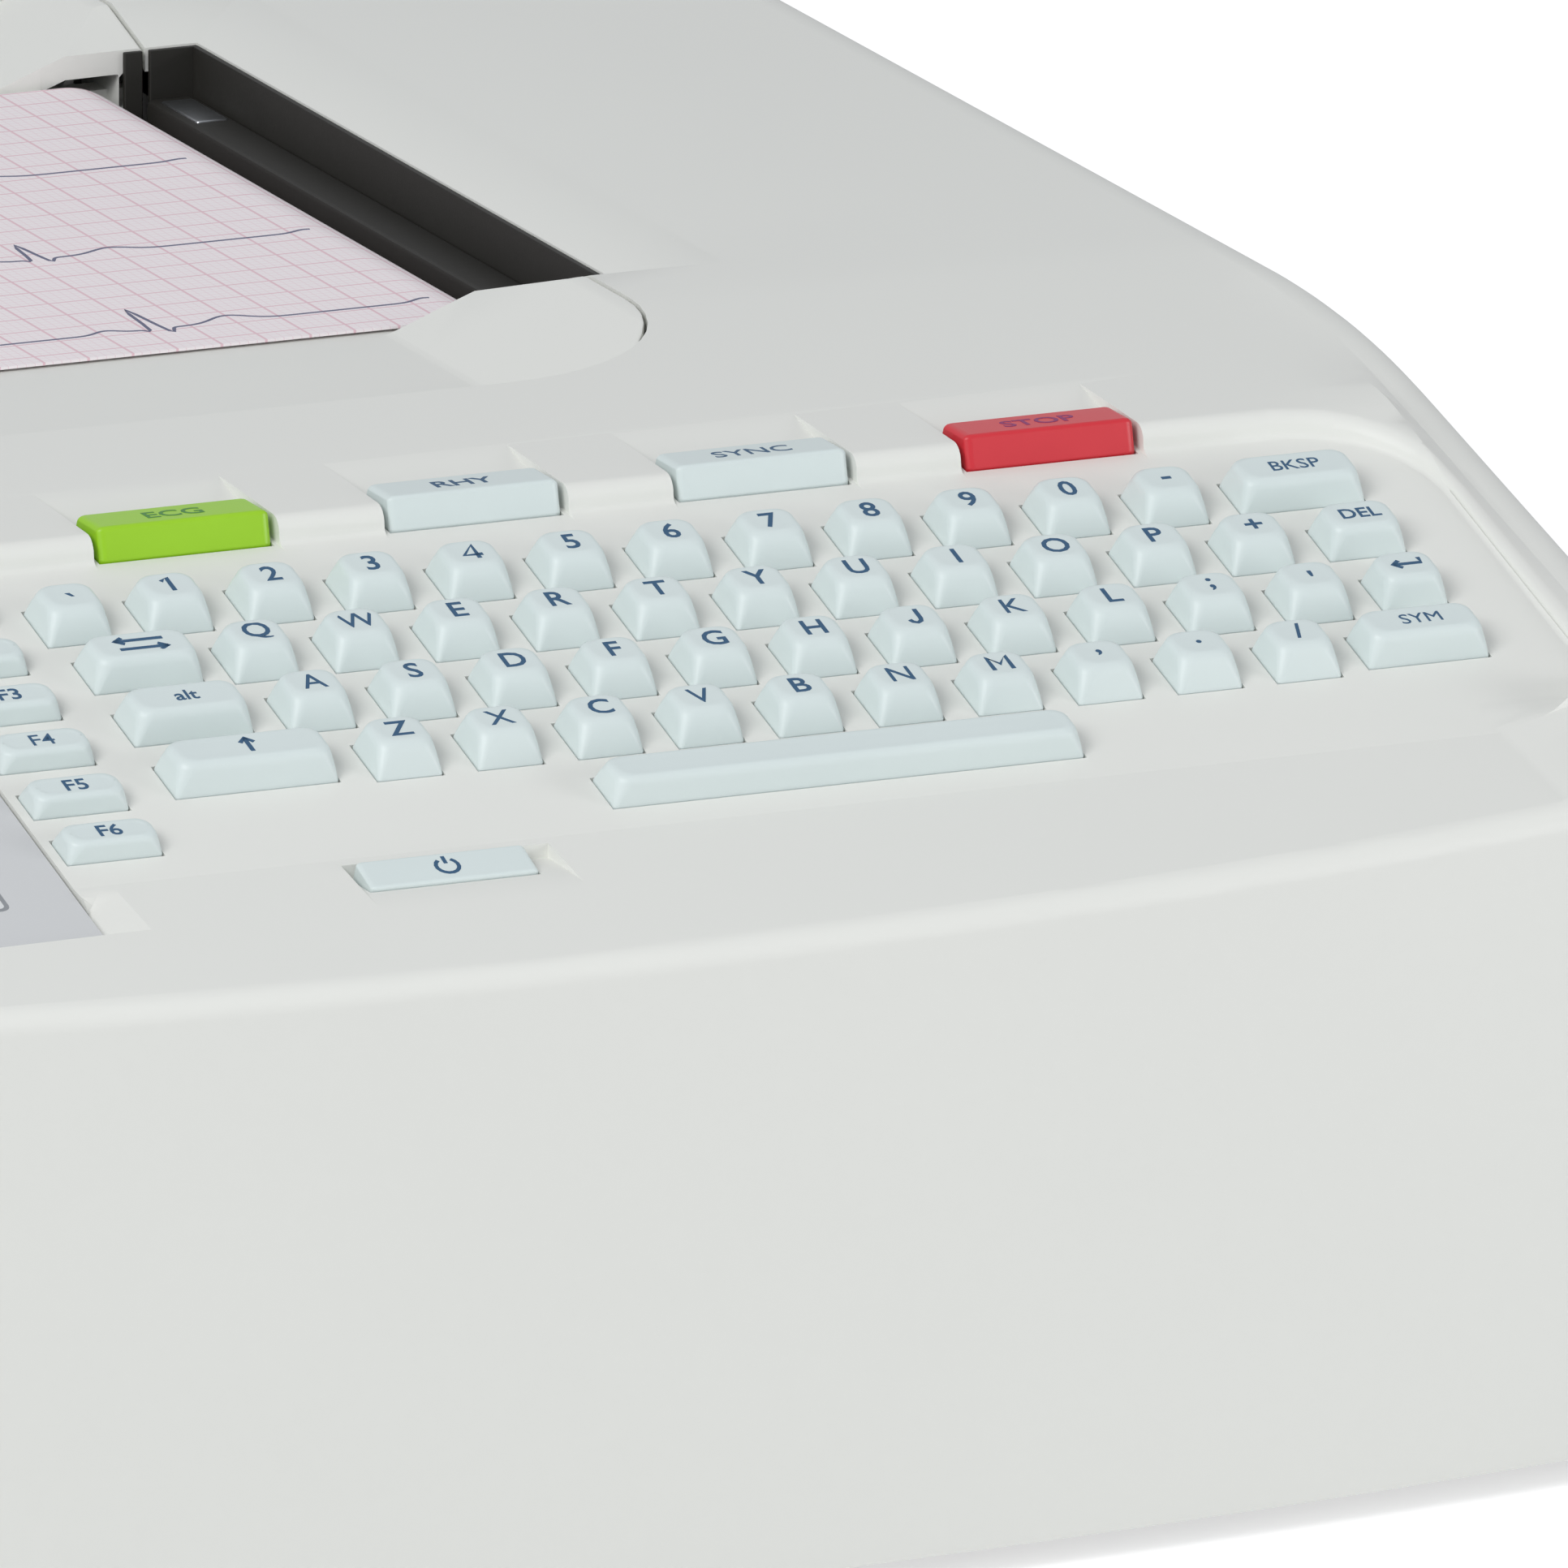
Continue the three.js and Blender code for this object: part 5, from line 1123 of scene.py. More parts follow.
# Arrows, and the figures and letters that the font draws badly at this weight, in millimetres from their middle.
SIGNS: dict[str, tuple[Sequence[Point], ...]] = {
    "tab": ([(-2.7, 0.75), (2.6, 0.75)], [(-1.7, 1.35), (-2.7, 0.75), (-1.7, 0.15)],
            [(-2.6, -0.85), (2.7, -0.85)], [(1.7, -0.25), (2.7, -0.85), (1.7, -1.45)]),
    "shift": ([(0.0, -1.3), (0.0, 1.3)], [(-0.75, 0.45), (0.0, 1.35), (0.75, 0.45)]),
    "enter": ([(1.5, 0.9), (1.5, -0.1), (-1.6, -0.1)], [(-0.8, 0.6), (-1.7, -0.1), (-0.8, -0.8)]),
    "1": ([(-0.75, 0.65), (0.05, 1.3), (0.05, -1.3)],),
    "4": ([(0.5, -1.3), (0.5, 1.3), (-0.95, -0.55), (1.1, -0.55)],),
    "M": ([(-1.05, -1.3), (-1.05, 1.3), (0.0, -0.2), (1.05, 1.3), (1.05, -1.3)],),
    "J": ([(0.6, 1.35), (0.6, -0.5), (0.45, -1.0), (0.0, -1.3), (-0.45, -1.05), (-0.65, -0.6)],),
}


# ---------------------------------------------------------------- keys


@dataclass(frozen=True)
class Cap:
    """One key cap: its ends across and along the keyboard, and what is printed on it."""

    u0: float
    u1: float
    v0: float
    v1: float
    label: str = ""

    @property
    def middle(self) -> Point:
        """The middle of its outline."""
        return (self.u0 + self.u1) / 2, (self.v0 + self.v1) / 2


@dataclass
class Keyboard:
    """All the keys, each group on the body that it presses with."""

    sizes: KeySizes = KEYS
    plane: Board = PLANE
    corner: float = 1.5
    foot: float = -2.9
    legend_sink: float = 0.05
    stroke: float = 0.5
    letter: float = 3.9
    small_word: float = 2.6
    side_word: float = 2.9
    bar_letter: float = 3.0
    bar_stretch: float = 1.15
    bar_top: tuple[Point, Point] = ((29.8, 3.0), (35.2, 1.4))
    power_rise: Span = (0.6, 1.0)
    power_slope: float = 0.085
    first_shares: tuple[float, ...] = (-5.036, -3.562, -3.397, -2.933)
    rows: tuple[tuple[str, str], ...] = (
        ("number_row_keys", "`1234567890-"), ("upper_letter_keys", "QWERTYUIOP+"),
        ("home_row_keys", "ASDFGHJKL;'"), ("lower_letter_keys", "ZXCVBNM,./"))
    row_ends: tuple[tuple[float, float, str] | None, ...] = (None, (79.0, 87.6, "DEL"), None, (74.2, 87.7, "SYM"))
    wide: tuple[tuple[str, int, float, float, str], ...] = (
        ("backspace_key", 0, 73.6, 87.5, "BKSP"), ("tab_key", 1, -58.2, -46.2, "tab"),
        ("alt_key", 2, -58.1, -45.0, "alt"), ("enter_key", 2, 80.4, 87.7, "enter"),
        ("shift_key", 3, -57.9, -40.0, "shift"))
    bar_names: tuple[str, ...] = (
        "green_function_key", "left_white_function_key", "right_white_function_key", "red_function_key")
    bar_words: tuple[str, ...] = ("ECG", "RHY", "SYNC", "STOP")

    def row_caps(self, row: int) -> list[Cap]:
        """Returns the caps that one row's body holds."""
        s = self.sizes
        v0 = s.row_v(row) - s.base / 2
        caps = []
        for i, label in enumerate(self.rows[row][1]):
            u = (self.first_shares[row] + i) * s.pitch
            caps.append(Cap(u - s.base / 2, u + s.base / 2, v0, v0 + s.base, label))
        end = self.row_ends[row]
        if end:
            caps.append(Cap(end[0], end[1], v0 + s.wide_trim, v0 + s.base, end[2]))
        return caps

    def wide_cap(self, entry: tuple[str, int, float, float, str]) -> Cap:
        """Returns one wide key's cap."""
        s = self.sizes
        v0 = s.row_v(entry[1]) - s.base / 2
        return Cap(entry[2], entry[3], v0 + s.wide_trim, v0 + s.base, entry[4])

    def side_caps(self) -> list[Cap]:
        """Returns the caps of F1 to F6."""
        s = self.sizes
        fronts = [s.side_first - i * s.side_pitch for i in range(6)]
        return [Cap(*s.side, v, v + s.side_depth, f"F{i + 1}") for i, v in enumerate(fronts)]

    def bar_caps(self) -> list[Cap]:
        """Returns the outlines of the four function keys."""
        s = self.sizes
        return [Cap(u - s.bar_half, u + s.bar_half, s.bar_front, s.bar_back, word)
                for u, word in zip(s.bar_places(), self.bar_words)]

    def places(self) -> list[tuple[float, float, float, float]]:
        """Returns every key's outline, for the holes in the casing."""
        caps = [c for row in range(4) for c in self.row_caps(row)] + [self.wide_cap(e) for e in self.wide]
        caps += [*self.side_caps(), *self.bar_caps(), Cap(*self.sizes.space), Cap(*self.sizes.power)]
        return [(c.u0, c.u1, c.v0, c.v1) for c in caps]

    def cap(self, solid: Solid, cap: Cap, height: float, front: float, back: float, side: float,
            finish: Finish) -> None:
        """Adds a cap whose flanks lean in and roll over into a slightly hollow top.

        Args:
            solid: what it goes into.
            cap: its outline.
            height: how far it stands out of the keyboard plane.
            front: how far the top stands back from the front of the foot.
            back: the same at the back.
            side: the same at the left and right.
            finish: its plastic.
        """
        least = min(cap.u1 - cap.u0 - 2 * side, cap.v1 - cap.v0 - front - back)

        def ring(share: float, spare: float, w: float, corner: float) -> np.ndarray:
            """Returns the cap's outline at one height, drawn in by a share of its setbacks."""
            line = rounded_box(cap.u0 + side * share + spare, cap.u1 - side * share - spare,
                               cap.v0 + front * share + spare, cap.v1 - back * share - spare, [corner] * 4, 5)
            return np.array(self.plane.place([(u, v, w) for u, v in line]))

        tight, flank, flank_share = 0.45, 0.70 * height, 0.60
        rings = [ring(0, 0.25, self.foot, 0.3), ring(0, 0, self.foot + 0.3, tight), ring(0, 0, 0, tight)]
        for t in (0.0, 0.25, 0.5, 0.75):
            share = flank_share * t - 0.03 * math.sin(math.pi * t)
            rings.append(ring(share, 0, flank * t, tight + 0.95 * t))
        roll = np.array([(flank_share, 0.0, flank), (0.90, 0.02, height * 0.985), (1.02, 0.62, height)])
        for t in np.linspace(0, 1, 9):
            share, spare, w = np.array([(1 - t) ** 2, 2 * t * (1 - t), t * t]) @ roll
            rings.append(ring(share, spare, w, self.corner))
        rings.append(ring(1.02, min(1.15, 0.22 * least), height - 0.03, min(0.9, 0.2 * least)))
        rings.append(ring(1.02, min(1.75, 0.32 * least), height - 0.05, min(0.4, 0.1 * least)))
        solid.rings(rings, finish)

    def word(self, solid: Solid, cap: Cap, height: float, rise: float, size: float, finish: Finish) -> None:
        """Adds what is printed on a cap, sized to its top."""
        middle = (cap.middle[0], cap.middle[1] + rise)
        if cap.label in SIGNS:
            LETTERS.strokes(solid, SIGNS[cap.label], middle, self.stroke, height, finish, self.plane.place)
            return
        room = cap.u1 - cap.u0 - 2.6
        points, _ = LETTERS.shape(cap.label)
        wide = (points[:, 0].max() - points[:, 0].min()) * size
        size *= min(1.0, room / max(wide, 1e-6))
        LETTERS.write(solid, cap.label, middle, size, height, finish, self.plane.place)

    def bar(self, solid: Solid, cap: Cap, profile: Sequence[Point], finish: Finish, radius: float = 0.55,
            lead: float = 0.9) -> None:
        """Adds a long key with a folded top, rounded along its edges and at its ends.

        Args:
            solid: what it goes into.
            cap: its outline.
            profile: its section along the keyboard and out of it, anticlockwise from the foot of its back.
            finish: its plastic.
            radius: how its long edges are rounded.
            lead: how far its ends draw in.
        """
        section = Loop(fillet(profile, radius, 5))
        rings = []
        steps = [(0.0, 1.0), (0.12, 0.62), (0.3, 0.34), (0.55, 0.12), (1.0, 0.0)]
        stations = [(cap.u0 + lead * t, lead * 0.62 * i) for t, i in steps]
        stations += [(cap.u1 - lead * t, lead * 0.62 * i) for t, i in reversed(steps)]
        for u, inset in stations:
            line = section.parallel(min(inset, radius * 0.9)) if inset else section.points
            line = np.where(line[:, 1:] < -1, section.points, line)
            rings.append(np.array(self.plane.place([(u, v, w) for v, w in line])))
        solid.rings(rings, finish)

    def build(self) -> None:
        """Builds every key."""
        s = self.sizes
        for row, (name, _) in enumerate(self.rows):
            solid = Solid()
            for cap in self.row_caps(row):
                self.letter_cap(solid, cap, self.letter if len(cap.label) == 1 else self.small_word)
            self.finish(solid, name)
        for entry in self.wide:
            solid = Solid()
            self.letter_cap(solid, self.wide_cap(entry), self.small_word)
            self.finish(solid, entry[0])
        solid = Solid()
        self.cap(solid, Cap(*s.space), s.space_height, 0.7, 0.7, 0.7, KEY)
        self.finish(solid, "space_bar")
        for i, cap in enumerate(self.side_caps()):
            solid = Solid()
            self.cap(solid, cap, s.side_height, 0.4, 0.4, 0.4, KEY)
            self.word(solid, cap, s.side_height - self.legend_sink, 0.0, self.side_word, LEGEND)
            self.finish(solid, f"f{i + 1}_key")
        self.function_keys()
        self.power_key()

    def letter_cap(self, solid: Solid, cap: Cap, size: float) -> None:
        """Adds a cap of the letter rows, whose front is trimmed where the cap is wide."""
        s = self.sizes
        inset_u, inset_v, trim = (s.base - s.top_u) / 2, (s.base - s.top_v) / 2, s.base - (cap.v1 - cap.v0)
        self.cap(solid, cap, s.height, inset_v + s.shift - trim, inset_v - s.shift, inset_u, KEY)
        self.word(solid, cap, s.height - self.legend_sink, s.shift - trim / 2, size, LEGEND)

    def slope(self, w0: float, rise: float, v0: float) -> Place:
        """Returns what places points on a top that stands w0 high at v0 and rises from there."""
        return lambda points: self.plane.place([(u, v, w + w0 + rise * (v - v0)) for u, v, w in points])

    def function_keys(self) -> None:
        """Builds the four long keys, with a word on the long slope of each."""
        s, (fold, back) = self.sizes, self.bar_top
        profile = [(s.bar_back, self.foot), back, fold, (s.bar_front, 0.0), (s.bar_front, self.foot)]
        place = self.slope(fold[1], (back[1] - fold[1]) / (back[0] - fold[0]), fold[0])
        finishes = ((GREEN, GREEN_LEGEND), (KEY, LEGEND), (KEY, LEGEND), (RED, RED_LEGEND))
        for name, cap, (plastic, ink) in zip(self.bar_names, self.bar_caps(), finishes):
            solid = Solid()
            self.bar(solid, cap, profile, plastic)
            middle = (cap.middle[0], 32.4)
            LETTERS.write(solid, cap.label, middle, self.bar_letter, 0.0, ink, place, self.bar_stretch)
            self.finish(solid, name)

    def power_key(self) -> None:
        """Builds the power key with its drawn sign."""
        solid, cap, (front, back) = Solid(), Cap(*self.sizes.power), self.power_rise
        profile = [(cap.v1, self.foot), (cap.v1, back), (cap.v0, front), (cap.v0, self.foot)]
        self.bar(solid, cap, profile, KEY, 0.4, 0.6)
        sign = [arc(1.2, 125, 415), [(0.0, 0.4), (0.0, 0.9), (0.0, 1.6)]]
        LETTERS.strokes(solid, sign, cap.middle, 0.42, 0.0, LEGEND, self.slope(front, self.power_slope, cap.v0))
        self.finish(solid, "power_key")

    @staticmethod
    def finish(solid: Solid, node: str) -> None:
        """Stands a key's solid in for its packed one."""
        settle(solid.object(f"{node}_cap", 40), node, node)


def fillet(points: Sequence[Point], radius: float, steps: int) -> list[Point]:
    """Returns a convex outline with its corners rounded by arcs."""
    at = np.array(points, float)
    found: list[Point] = []
    for i, corner in enumerate(at):
        back = at[i - 1] - corner
        ahead = at[(i + 1) % len(at)] - corner
        lengths = np.linalg.norm(back), np.linalg.norm(ahead)
        back, ahead = back / lengths[0], ahead / lengths[1]
        half = math.acos(max(-1.0, min(1.0, float(back @ ahead)))) / 2
        reach = min(radius / math.tan(half), 0.45 * min(lengths))
        r = reach * math.tan(half)
        centre = corner + (back + ahead) / np.linalg.norm(back + ahead) * r / math.sin(half)
        start, end = corner + back * reach - centre, corner + ahead * reach - centre
        a0, a1 = math.atan2(start[1], start[0]), math.atan2(end[1], end[0])
        while a1 - a0 > math.pi:
            a1 -= 2 * math.pi
        while a1 - a0 < -math.pi:
            a1 += 2 * math.pi
        for t in np.linspace(0, 1, steps + 1):
            a = a0 + (a1 - a0) * t
            found.append((centre[0] + r * math.cos(a), centre[1] + r * math.sin(a)))
    return found


# ---------------------------------------------------------------- display


@dataclass
class Display:
    """The flush window with the crystal panel's image behind it."""

    plane: Board = PLANE
    top: float = -0.1
    bezel: float = 7.4
    line_width: float = 0.5
    rows: int = 4
    row_pitch: float = 12.0
    beat: float = 15.5
    wave: float = 3.4

    def box(self, inset: float, radius: float, steps: int) -> list[Point]:
        """Returns the window's outline, moved inwards."""
        (u0, u1), (v0, v1) = self.plane.window_u, self.plane.window_v
        return rounded_box(u0 + inset, u1 - inset, v0 + inset, v1 - inset, [radius] * 4, steps)

    def build(self) -> None:
        """Builds the pane with its bezel, the panel's face and generic lines on it."""
        solid = Solid()
        rings = []
        for inset, w in ((0.2, -1.2), (0, -1.0), (0, -0.3), (0.06, -0.16), (0.22, self.top), (7.0, self.top)):
            rings.append(np.array(self.plane.place([(a, b, w) for a, b in self.box(inset, 0.5, 3)])))
        solid.rings(rings, PANE)
        self.frame_line(solid)
        self.traces(solid)
        settle(solid.object("display_pane", 35), Body.MACHINE.value, "display_window")

    def frame_line(self, solid: Solid) -> None:
        """Adds the panel's face and the thin printed line round it."""
        outer, inner = self.box(self.bezel, 1.0, 4), self.box(self.bezel + self.line_width, 0.6, 4)
        n = len(outer)
        faces = [(i, (i + 1) % n, n + (i + 1) % n, n + i) for i in range(n)]
        LETTERS.raise_shape(solid, np.array(outer + inner), faces, self.top - 0.01, PANE_LINE, self.plane.place, 0.05)
        fill = [tuple(reversed(range(n)))]
        LETTERS.raise_shape(solid, np.array(inner[::-1]), fill, self.top - 0.02, PANEL, self.plane.place, 0.04)

    def traces(self, solid: Solid) -> None:
        """Adds heart traces on the panel's face."""
        u0, u1 = self.plane.window_u[0] + 12, self.plane.window_u[1] - 11
        for row in range(self.rows):
            v = self.plane.window_v[1] - 18 - row * self.row_pitch
            line = [(u, v + self.wave * heartbeat((u - u0) / self.beat + row * 0.31))
                    for u in np.linspace(u0, u1, 190)]
            LETTERS.strokes(solid, [line], (0, 0), 0.28, self.top, SCREEN_INK, self.plane.place)


def heartbeat(t: float) -> float:
    """Returns the height of a heart trace, one beat for each whole number."""
    t = t % 1.0
    waves = ((0.16, 0.035, 0.14), (0.285, 0.010, -0.14), (0.31, 0.012, 1.0), (0.337, 0.011, -0.26),
             (0.55, 0.055, 0.27))
    return sum(h * math.exp(-((t - place) / width) ** 2 / 2) for place, width, h in waves)


# ---------------------------------------------------------------- writer


@dataclass
class WriterCover:
    """The sliding cover: sunken where the paper lies, level with the casing beside the slot."""

    case: Casing = CASE_SIZES
    writer: Writer = WRITER
    gap: float = 0.4
    ramp_round: float = 0.5
    bevel_round: float = 0.25
    left_round: float = 1.6
    rim_round: float = 0.35
    push_depth: float = 6.0
    end_skirt: tuple[float, float, float] = (40.0, 87.2, 76.0)
    bore: float = 6.3
    cheek_reach: tuple[float, float, float, float] = (12.4, 12.8, 6.8, 7.7)
    cheek_places: Span = (6.8, 3.4)
    cheek_thickness: float = 3.4
    # Box of the black plate on the slot's rear wall, which paints in the slot's shade.
    shade_plate: tuple[Span, Span, Span] = ((-2.6, -0.5), (-0.65, -0.02), (85.6, 93.3))

    def __post_init__(self) -> None:
        """Works out the outline."""
        c, w = self.case, self.writer
        self.left = -c.half + c.side_lean
        self.edge = Loop(w.outline(self.gap, self.left))
        self.slot = Loop(rounded_box(w.slot_left, 90, w.slot_front, w.slot_rear, [0.01] * 4, 1))

    def height(self, at: np.ndarray) -> np.ndarray:
        """Returns the height of the cover's outer side."""
        c, w = self.case, self.writer
        x, y = at[:, 0], at[:, 1]
        z = soft_min(np.full(len(at), c.top), w.ramp(x, c.top), self.ramp_round)
        z = -soft_min(-z, np.full(len(at), -w.sunken), self.ramp_round)
        z = soft_min(z, w.bevels(at, c.top), self.bevel_round)
        inside = (y > w.slot_front + 0.03) & (y < w.slot_rear - 0.03) & (x > w.ramp_foot - 3)
        z = np.where(inside & (self.slot.depth(at) > -30), np.minimum(z, w.sunken), z)
        return z - rounding(self.left_round, x - self.left) - rounding(self.rim_round, self.edge.depth(at))

    def under(self, top: np.ndarray) -> np.ndarray:
        """Returns the inner side of the cover's wall."""
        normal, depth = self.edge.nearest(top[:, :2])
        push = (self.push_depth - np.clip(depth, 0, self.push_depth)) * self.case.wall / self.push_depth
        return lift(top[:, :2] + normal * push[:, None], top[:, 2] - self.writer.plate)

    def lines(self) -> list[np.ndarray]:
        """Returns every line that the cover bends at."""
        c, w = self.case, self.writer
        found = [self.edge.points, self.slot.points, *[self.edge.parallel(i) for i in (0.08, 0.2, 0.35)]]
        bends = [self.left + v for v in (0.06, 0.25, 0.55, 1.0, 1.6)]
        bends += [w.ramp_foot + v for v in (-0.6, -0.3, 0, 0.3, 0.6, -3.0)]
        bends += [w.ramp_top + v for v in (-0.6, -0.3, 0, 0.3, 0.6)]
        found += grid_lines(bends, False, w.front, w.rear)
        for spread in (0.0, -0.06, w.bevel, w.bevel - 0.3, w.bevel + 0.3):
            found += grid_lines((w.slot_front - spread, w.slot_rear + spread), True, w.ramp_foot - 4, w.right)
        share = (c.top - w.bevel_drop - w.sunken) / (c.top - w.sunken)
        near = w.ramp_foot + share * (w.ramp_top - w.ramp_foot)
        for y, spread in ((w.slot_front, -w.bevel), (w.slot_rear, w.bevel)):
            found.append(np.array([(near, y), (w.ramp_top, y + spread)]))
        return found

    def keep(self, at: np.ndarray) -> np.ndarray:
        """Returns which plan points belong to the cover."""
        return (self.edge.depth(at) > 0) & (self.slot.depth(at) < 0)

    def drop(self, rim: np.ndarray, inner: np.ndarray) -> tuple[np.ndarray, np.ndarray]:
        """Returns the foot of the skirt on both sides: low at the left, and clear of the rails at the right."""
        c, w = self.case, self.writer
        left = rim[:, 0] < self.left + 0.01
        right_from, right_foot, foot = self.end_skirt
        low = np.where(left, w.skirt, np.where(rim[:, 0] > right_from, right_foot, foot))
        lean = np.where(left, -c.side_lean * (c.top - w.skirt) / (c.top - c.skirt), 0)
        return tuple(np.column_stack([side[:, 0] + lean, side[:, 1], low]) for side in (rim, inner))

    def build(self) -> None:
        """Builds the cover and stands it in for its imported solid."""
        w = self.writer
        solid = Solid()
        skin = Skin(self.height, self.lines(), self.keep, self.under)
        skin.hang(solid, skin.build(solid, HOUSING, self.edge), self.drop)
        for y in (w.slot_front - self.cheek_places[0], w.slot_rear + self.cheek_places[1]):
            self.cheek(solid, y)
        # A black plate on the slot's rear wall paints the slot's shade, so the slot looks dark right up to the bevel.
        (x0, x1), (y0, y1), (z0, z1) = self.shade_plate
        solid.block((w.right + x0, w.slot_rear + y0, z0), (w.right + x1, w.slot_rear + y1, z1), BLACK, 0.1)
        settle(solid.object("sliding_cover", 32), Body.COVER.value, "writer_cover")

    def cheek(self, solid: Solid, y: float) -> None:
        """Adds one plate that carries a bearing of the platen, from a place along the machine backwards."""
        right, left, up, down = self.cheek_reach
        inner, outer = [], []
        for a in np.linspace(0, 2 * math.pi, 33)[:-1]:
            dx, dz = self.bore * math.cos(a), self.bore * math.sin(a)
            t = min((right if dx > 0 else left) / max(abs(dx), 1e-6), (up if dz > 0 else down) / max(abs(dz), 1e-6))
            inner.append((self.writer.platen_x + dx, self.writer.platen_z + dz))
            outer.append((self.writer.platen_x + dx * t, self.writer.platen_z + dz * t))
        n = len(inner)
        points = [(x, yy, z) for yy in (y, y + self.cheek_thickness) for line in (inner, outer) for x, z in line]
        faces: Faces = []
        for i in range(n):
            j = (i + 1) % n
            faces += [(i, j, n + j, n + i), (3 * n + i, 3 * n + j, 2 * n + j, 2 * n + i),
                      (j, i, 2 * n + i, 2 * n + j), (n + i, n + j, 3 * n + j, 3 * n + i)]
        solid.add(points, faces, HOUSING)


@dataclass
class ChartPaperStrip:
    """The printed strip that comes over the platen and lies on the cover, with its traces."""

    writer: Writer = WRITER
    front: float = 12.0
    rear: float = 120.0
    end: float = -139.0
    radius: float = 8.3
    thickness: float = 0.3
    stack_x: float = 39.7
    stack_top: float = 55.6
    descent: tuple[Point, ...] = ((0.98, 0.78), (0.86, 0.5), (0.6, 0.24), (0.28, 0.06), (0.0, 0.0))
    trace_places: tuple[float, ...] = (20.5, 52.5, 86.0)
    trace_height: float = 9.0
    trace_width: float = 0.4
    beat: float = 36.0
    peak: float = 31.0

    def path(self) -> tuple[np.ndarray, np.ndarray]:
        """Returns the strip's outer and inner lines in X and Z, from its free end to the folded stack."""
        r, t, px, pz = self.radius, self.thickness, self.writer.platen_x, self.writer.platen_z
        turn = [(math.cos(a), math.sin(a)) for a in np.radians(np.linspace(90, 0, 25))]
        flat = [(x, pz + r) for x in np.linspace(self.end, px, 60)[:-1]]
        inner = flat + [(px + r * c, pz + r * s) for c, s in turn]
        outer = [(x, z + t) for x, z in flat] + [(px + (r + t) * c, pz + (r + t) * s) for c, s in turn]
        for run, rise in self.descent:
            x, z = self.stack_x + run * (px + r - self.stack_x), self.stack_top + rise * (pz - self.stack_top)
            inner.append((x, z) if run else (x, z + 0.3))
            outer.append((x + t * 0.8, z - t * 0.5) if run else (x, z))
        return np.array(outer), np.array(inner)

    def build(self) -> None:
        """Builds the strip, with side faces cut into quads because its section isn't convex, and its ink."""
        outer, inner = self.path()
        section = np.concatenate([outer, inner[::-1]])
        rings = [np.array([(x, y, z) for x, z in section]) for y in (self.front, self.rear)]
        solid = Solid().rings(rings, PAPER)
        count, last = len(outer) - 1, len(section) - 1
        near = [(i, i + 1, last - i - 1, last - i) for i in range(count)]
        far = [tuple(q + last + 1 for q in quad[::-1]) for quad in near]
        solid.faces = solid.faces[:-2] + near + far
        solid.slots = solid.slots[:-2] + [0] * 2 * count
        self.traces(solid)
        settle(solid.object("chart_strip", 40), Body.MACHINE.value, "paper_web")

    def traces(self, solid: Solid) -> None:
        """Adds three heart traces printed along the strip, which end at the print line."""
        top = self.writer.platen_z + self.radius + self.thickness
        xs = np.arange(self.end + 2, self.writer.platen_x + 0.5, 0.3)
        for i, y in enumerate(self.trace_places):
            tall = self.trace_height * (1 - 0.25 * i)
            line = [(x, y + tall * heartbeat((x - self.peak) / self.beat + 0.31)) for x in xs]
            LETTERS.strokes(solid, [line], (0, 0), self.trace_width, 0.0, TRACE,
                            lambda points: [(u, v, top + w) for u, v, w in points])


@dataclass
class PrintHead:
    """The thermal head: a ceramic bar on a cooling block, with its ribbon cable's clip, and black plates in the slot
    that paint its shade.
    """

    writer: Writer = WRITER
    bar: float = 0.9
    ribs: tuple[Point, ...] = ((81.7, 1.2), (85.0, 0.5), (78.5, 0.5))
    foot: Span = (80.9, 82.5)
    # Heights of the black plates that paint the shade on the slot's walls.
    shade_plate: Span = (85.6, 93.3)

    def build(self) -> None:
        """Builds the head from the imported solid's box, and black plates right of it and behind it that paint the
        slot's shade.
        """
        (x0, y0, z0), (x1, y1, z1) = box_of("print_head")
        solid, w, x = Solid(), self.writer, x0 + self.bar
        low, high = self.shade_plate
        solid.block((x, y0, z0), (x1, y1, z1), BLACK, 0.6)
        for z, half in self.ribs:
            solid.block((x - 0.18, y0 + 2, z - half), (x + 0.1, y1 - 2, z + half), SOCKET, 0.1)
        solid.block((x0, y0 + 1, self.foot[0]), (x + 0.1, y1 - 1, self.foot[1]), SOCKET, 0.3)
        solid.block((x + 0.9, y1 - 12.0, z1 - 1.5), (x1 - 0.8, y1 - 2.0, z1 + 0.2), STEEL, 0.3)
        # Black plates on the slot's right and rear walls: painted shade, so the slot is dark right up to the bevel.
        right, rear = w.slot_right, w.slot_rear - 0.05
        solid.block((right - 0.7, w.slot_front + 0.2, low), (right - 0.05, rear, high), BLACK, 0.1)
        solid.block((w.right + 0.3, w.slot_rear - 0.7, low), (right - 0.6, rear, high), BLACK, 0.1)
        settle(solid.object("thermal_head", 35), Body.MACHINE.value, "print_head")


# ---------------------------------------------------------------- small outside pieces


@dataclass
class Feet:
    """Four turned rubber feet with a recessed middle."""

    names: tuple[str, ...] = ("front_right_foot", "front_left_foot", "rear_right_foot", "rear_left_foot")
    steps: int = 40

    def build(self) -> None:
        """Builds each foot within its packed box."""
        for name in self.names:
            (x0, y0, z0), (x1, y1, z1) = box_of(name)
            r = (x1 - x0) / 2
            profile = [(0.5, z0 + 0.6), (r * 0.45, z0 + 0.6), (r * 0.5, z0 + 0.1), (r * 0.56, z0), (r * 0.82, z0),
                       (r * 0.93, z0 + 0.25), (r * 0.985, z0 + 0.9), (r * 0.995, z1 - 0.3), (r * 0.95, z1), (0.5, z1)]
            solid = Solid().rings(turned((x0 + x1) / 2, (y0 + y1) / 2, profile, self.steps), FOOT)
            settle(solid.object(f"{name}_rubber", 30), Body.MACHINE.value, name)


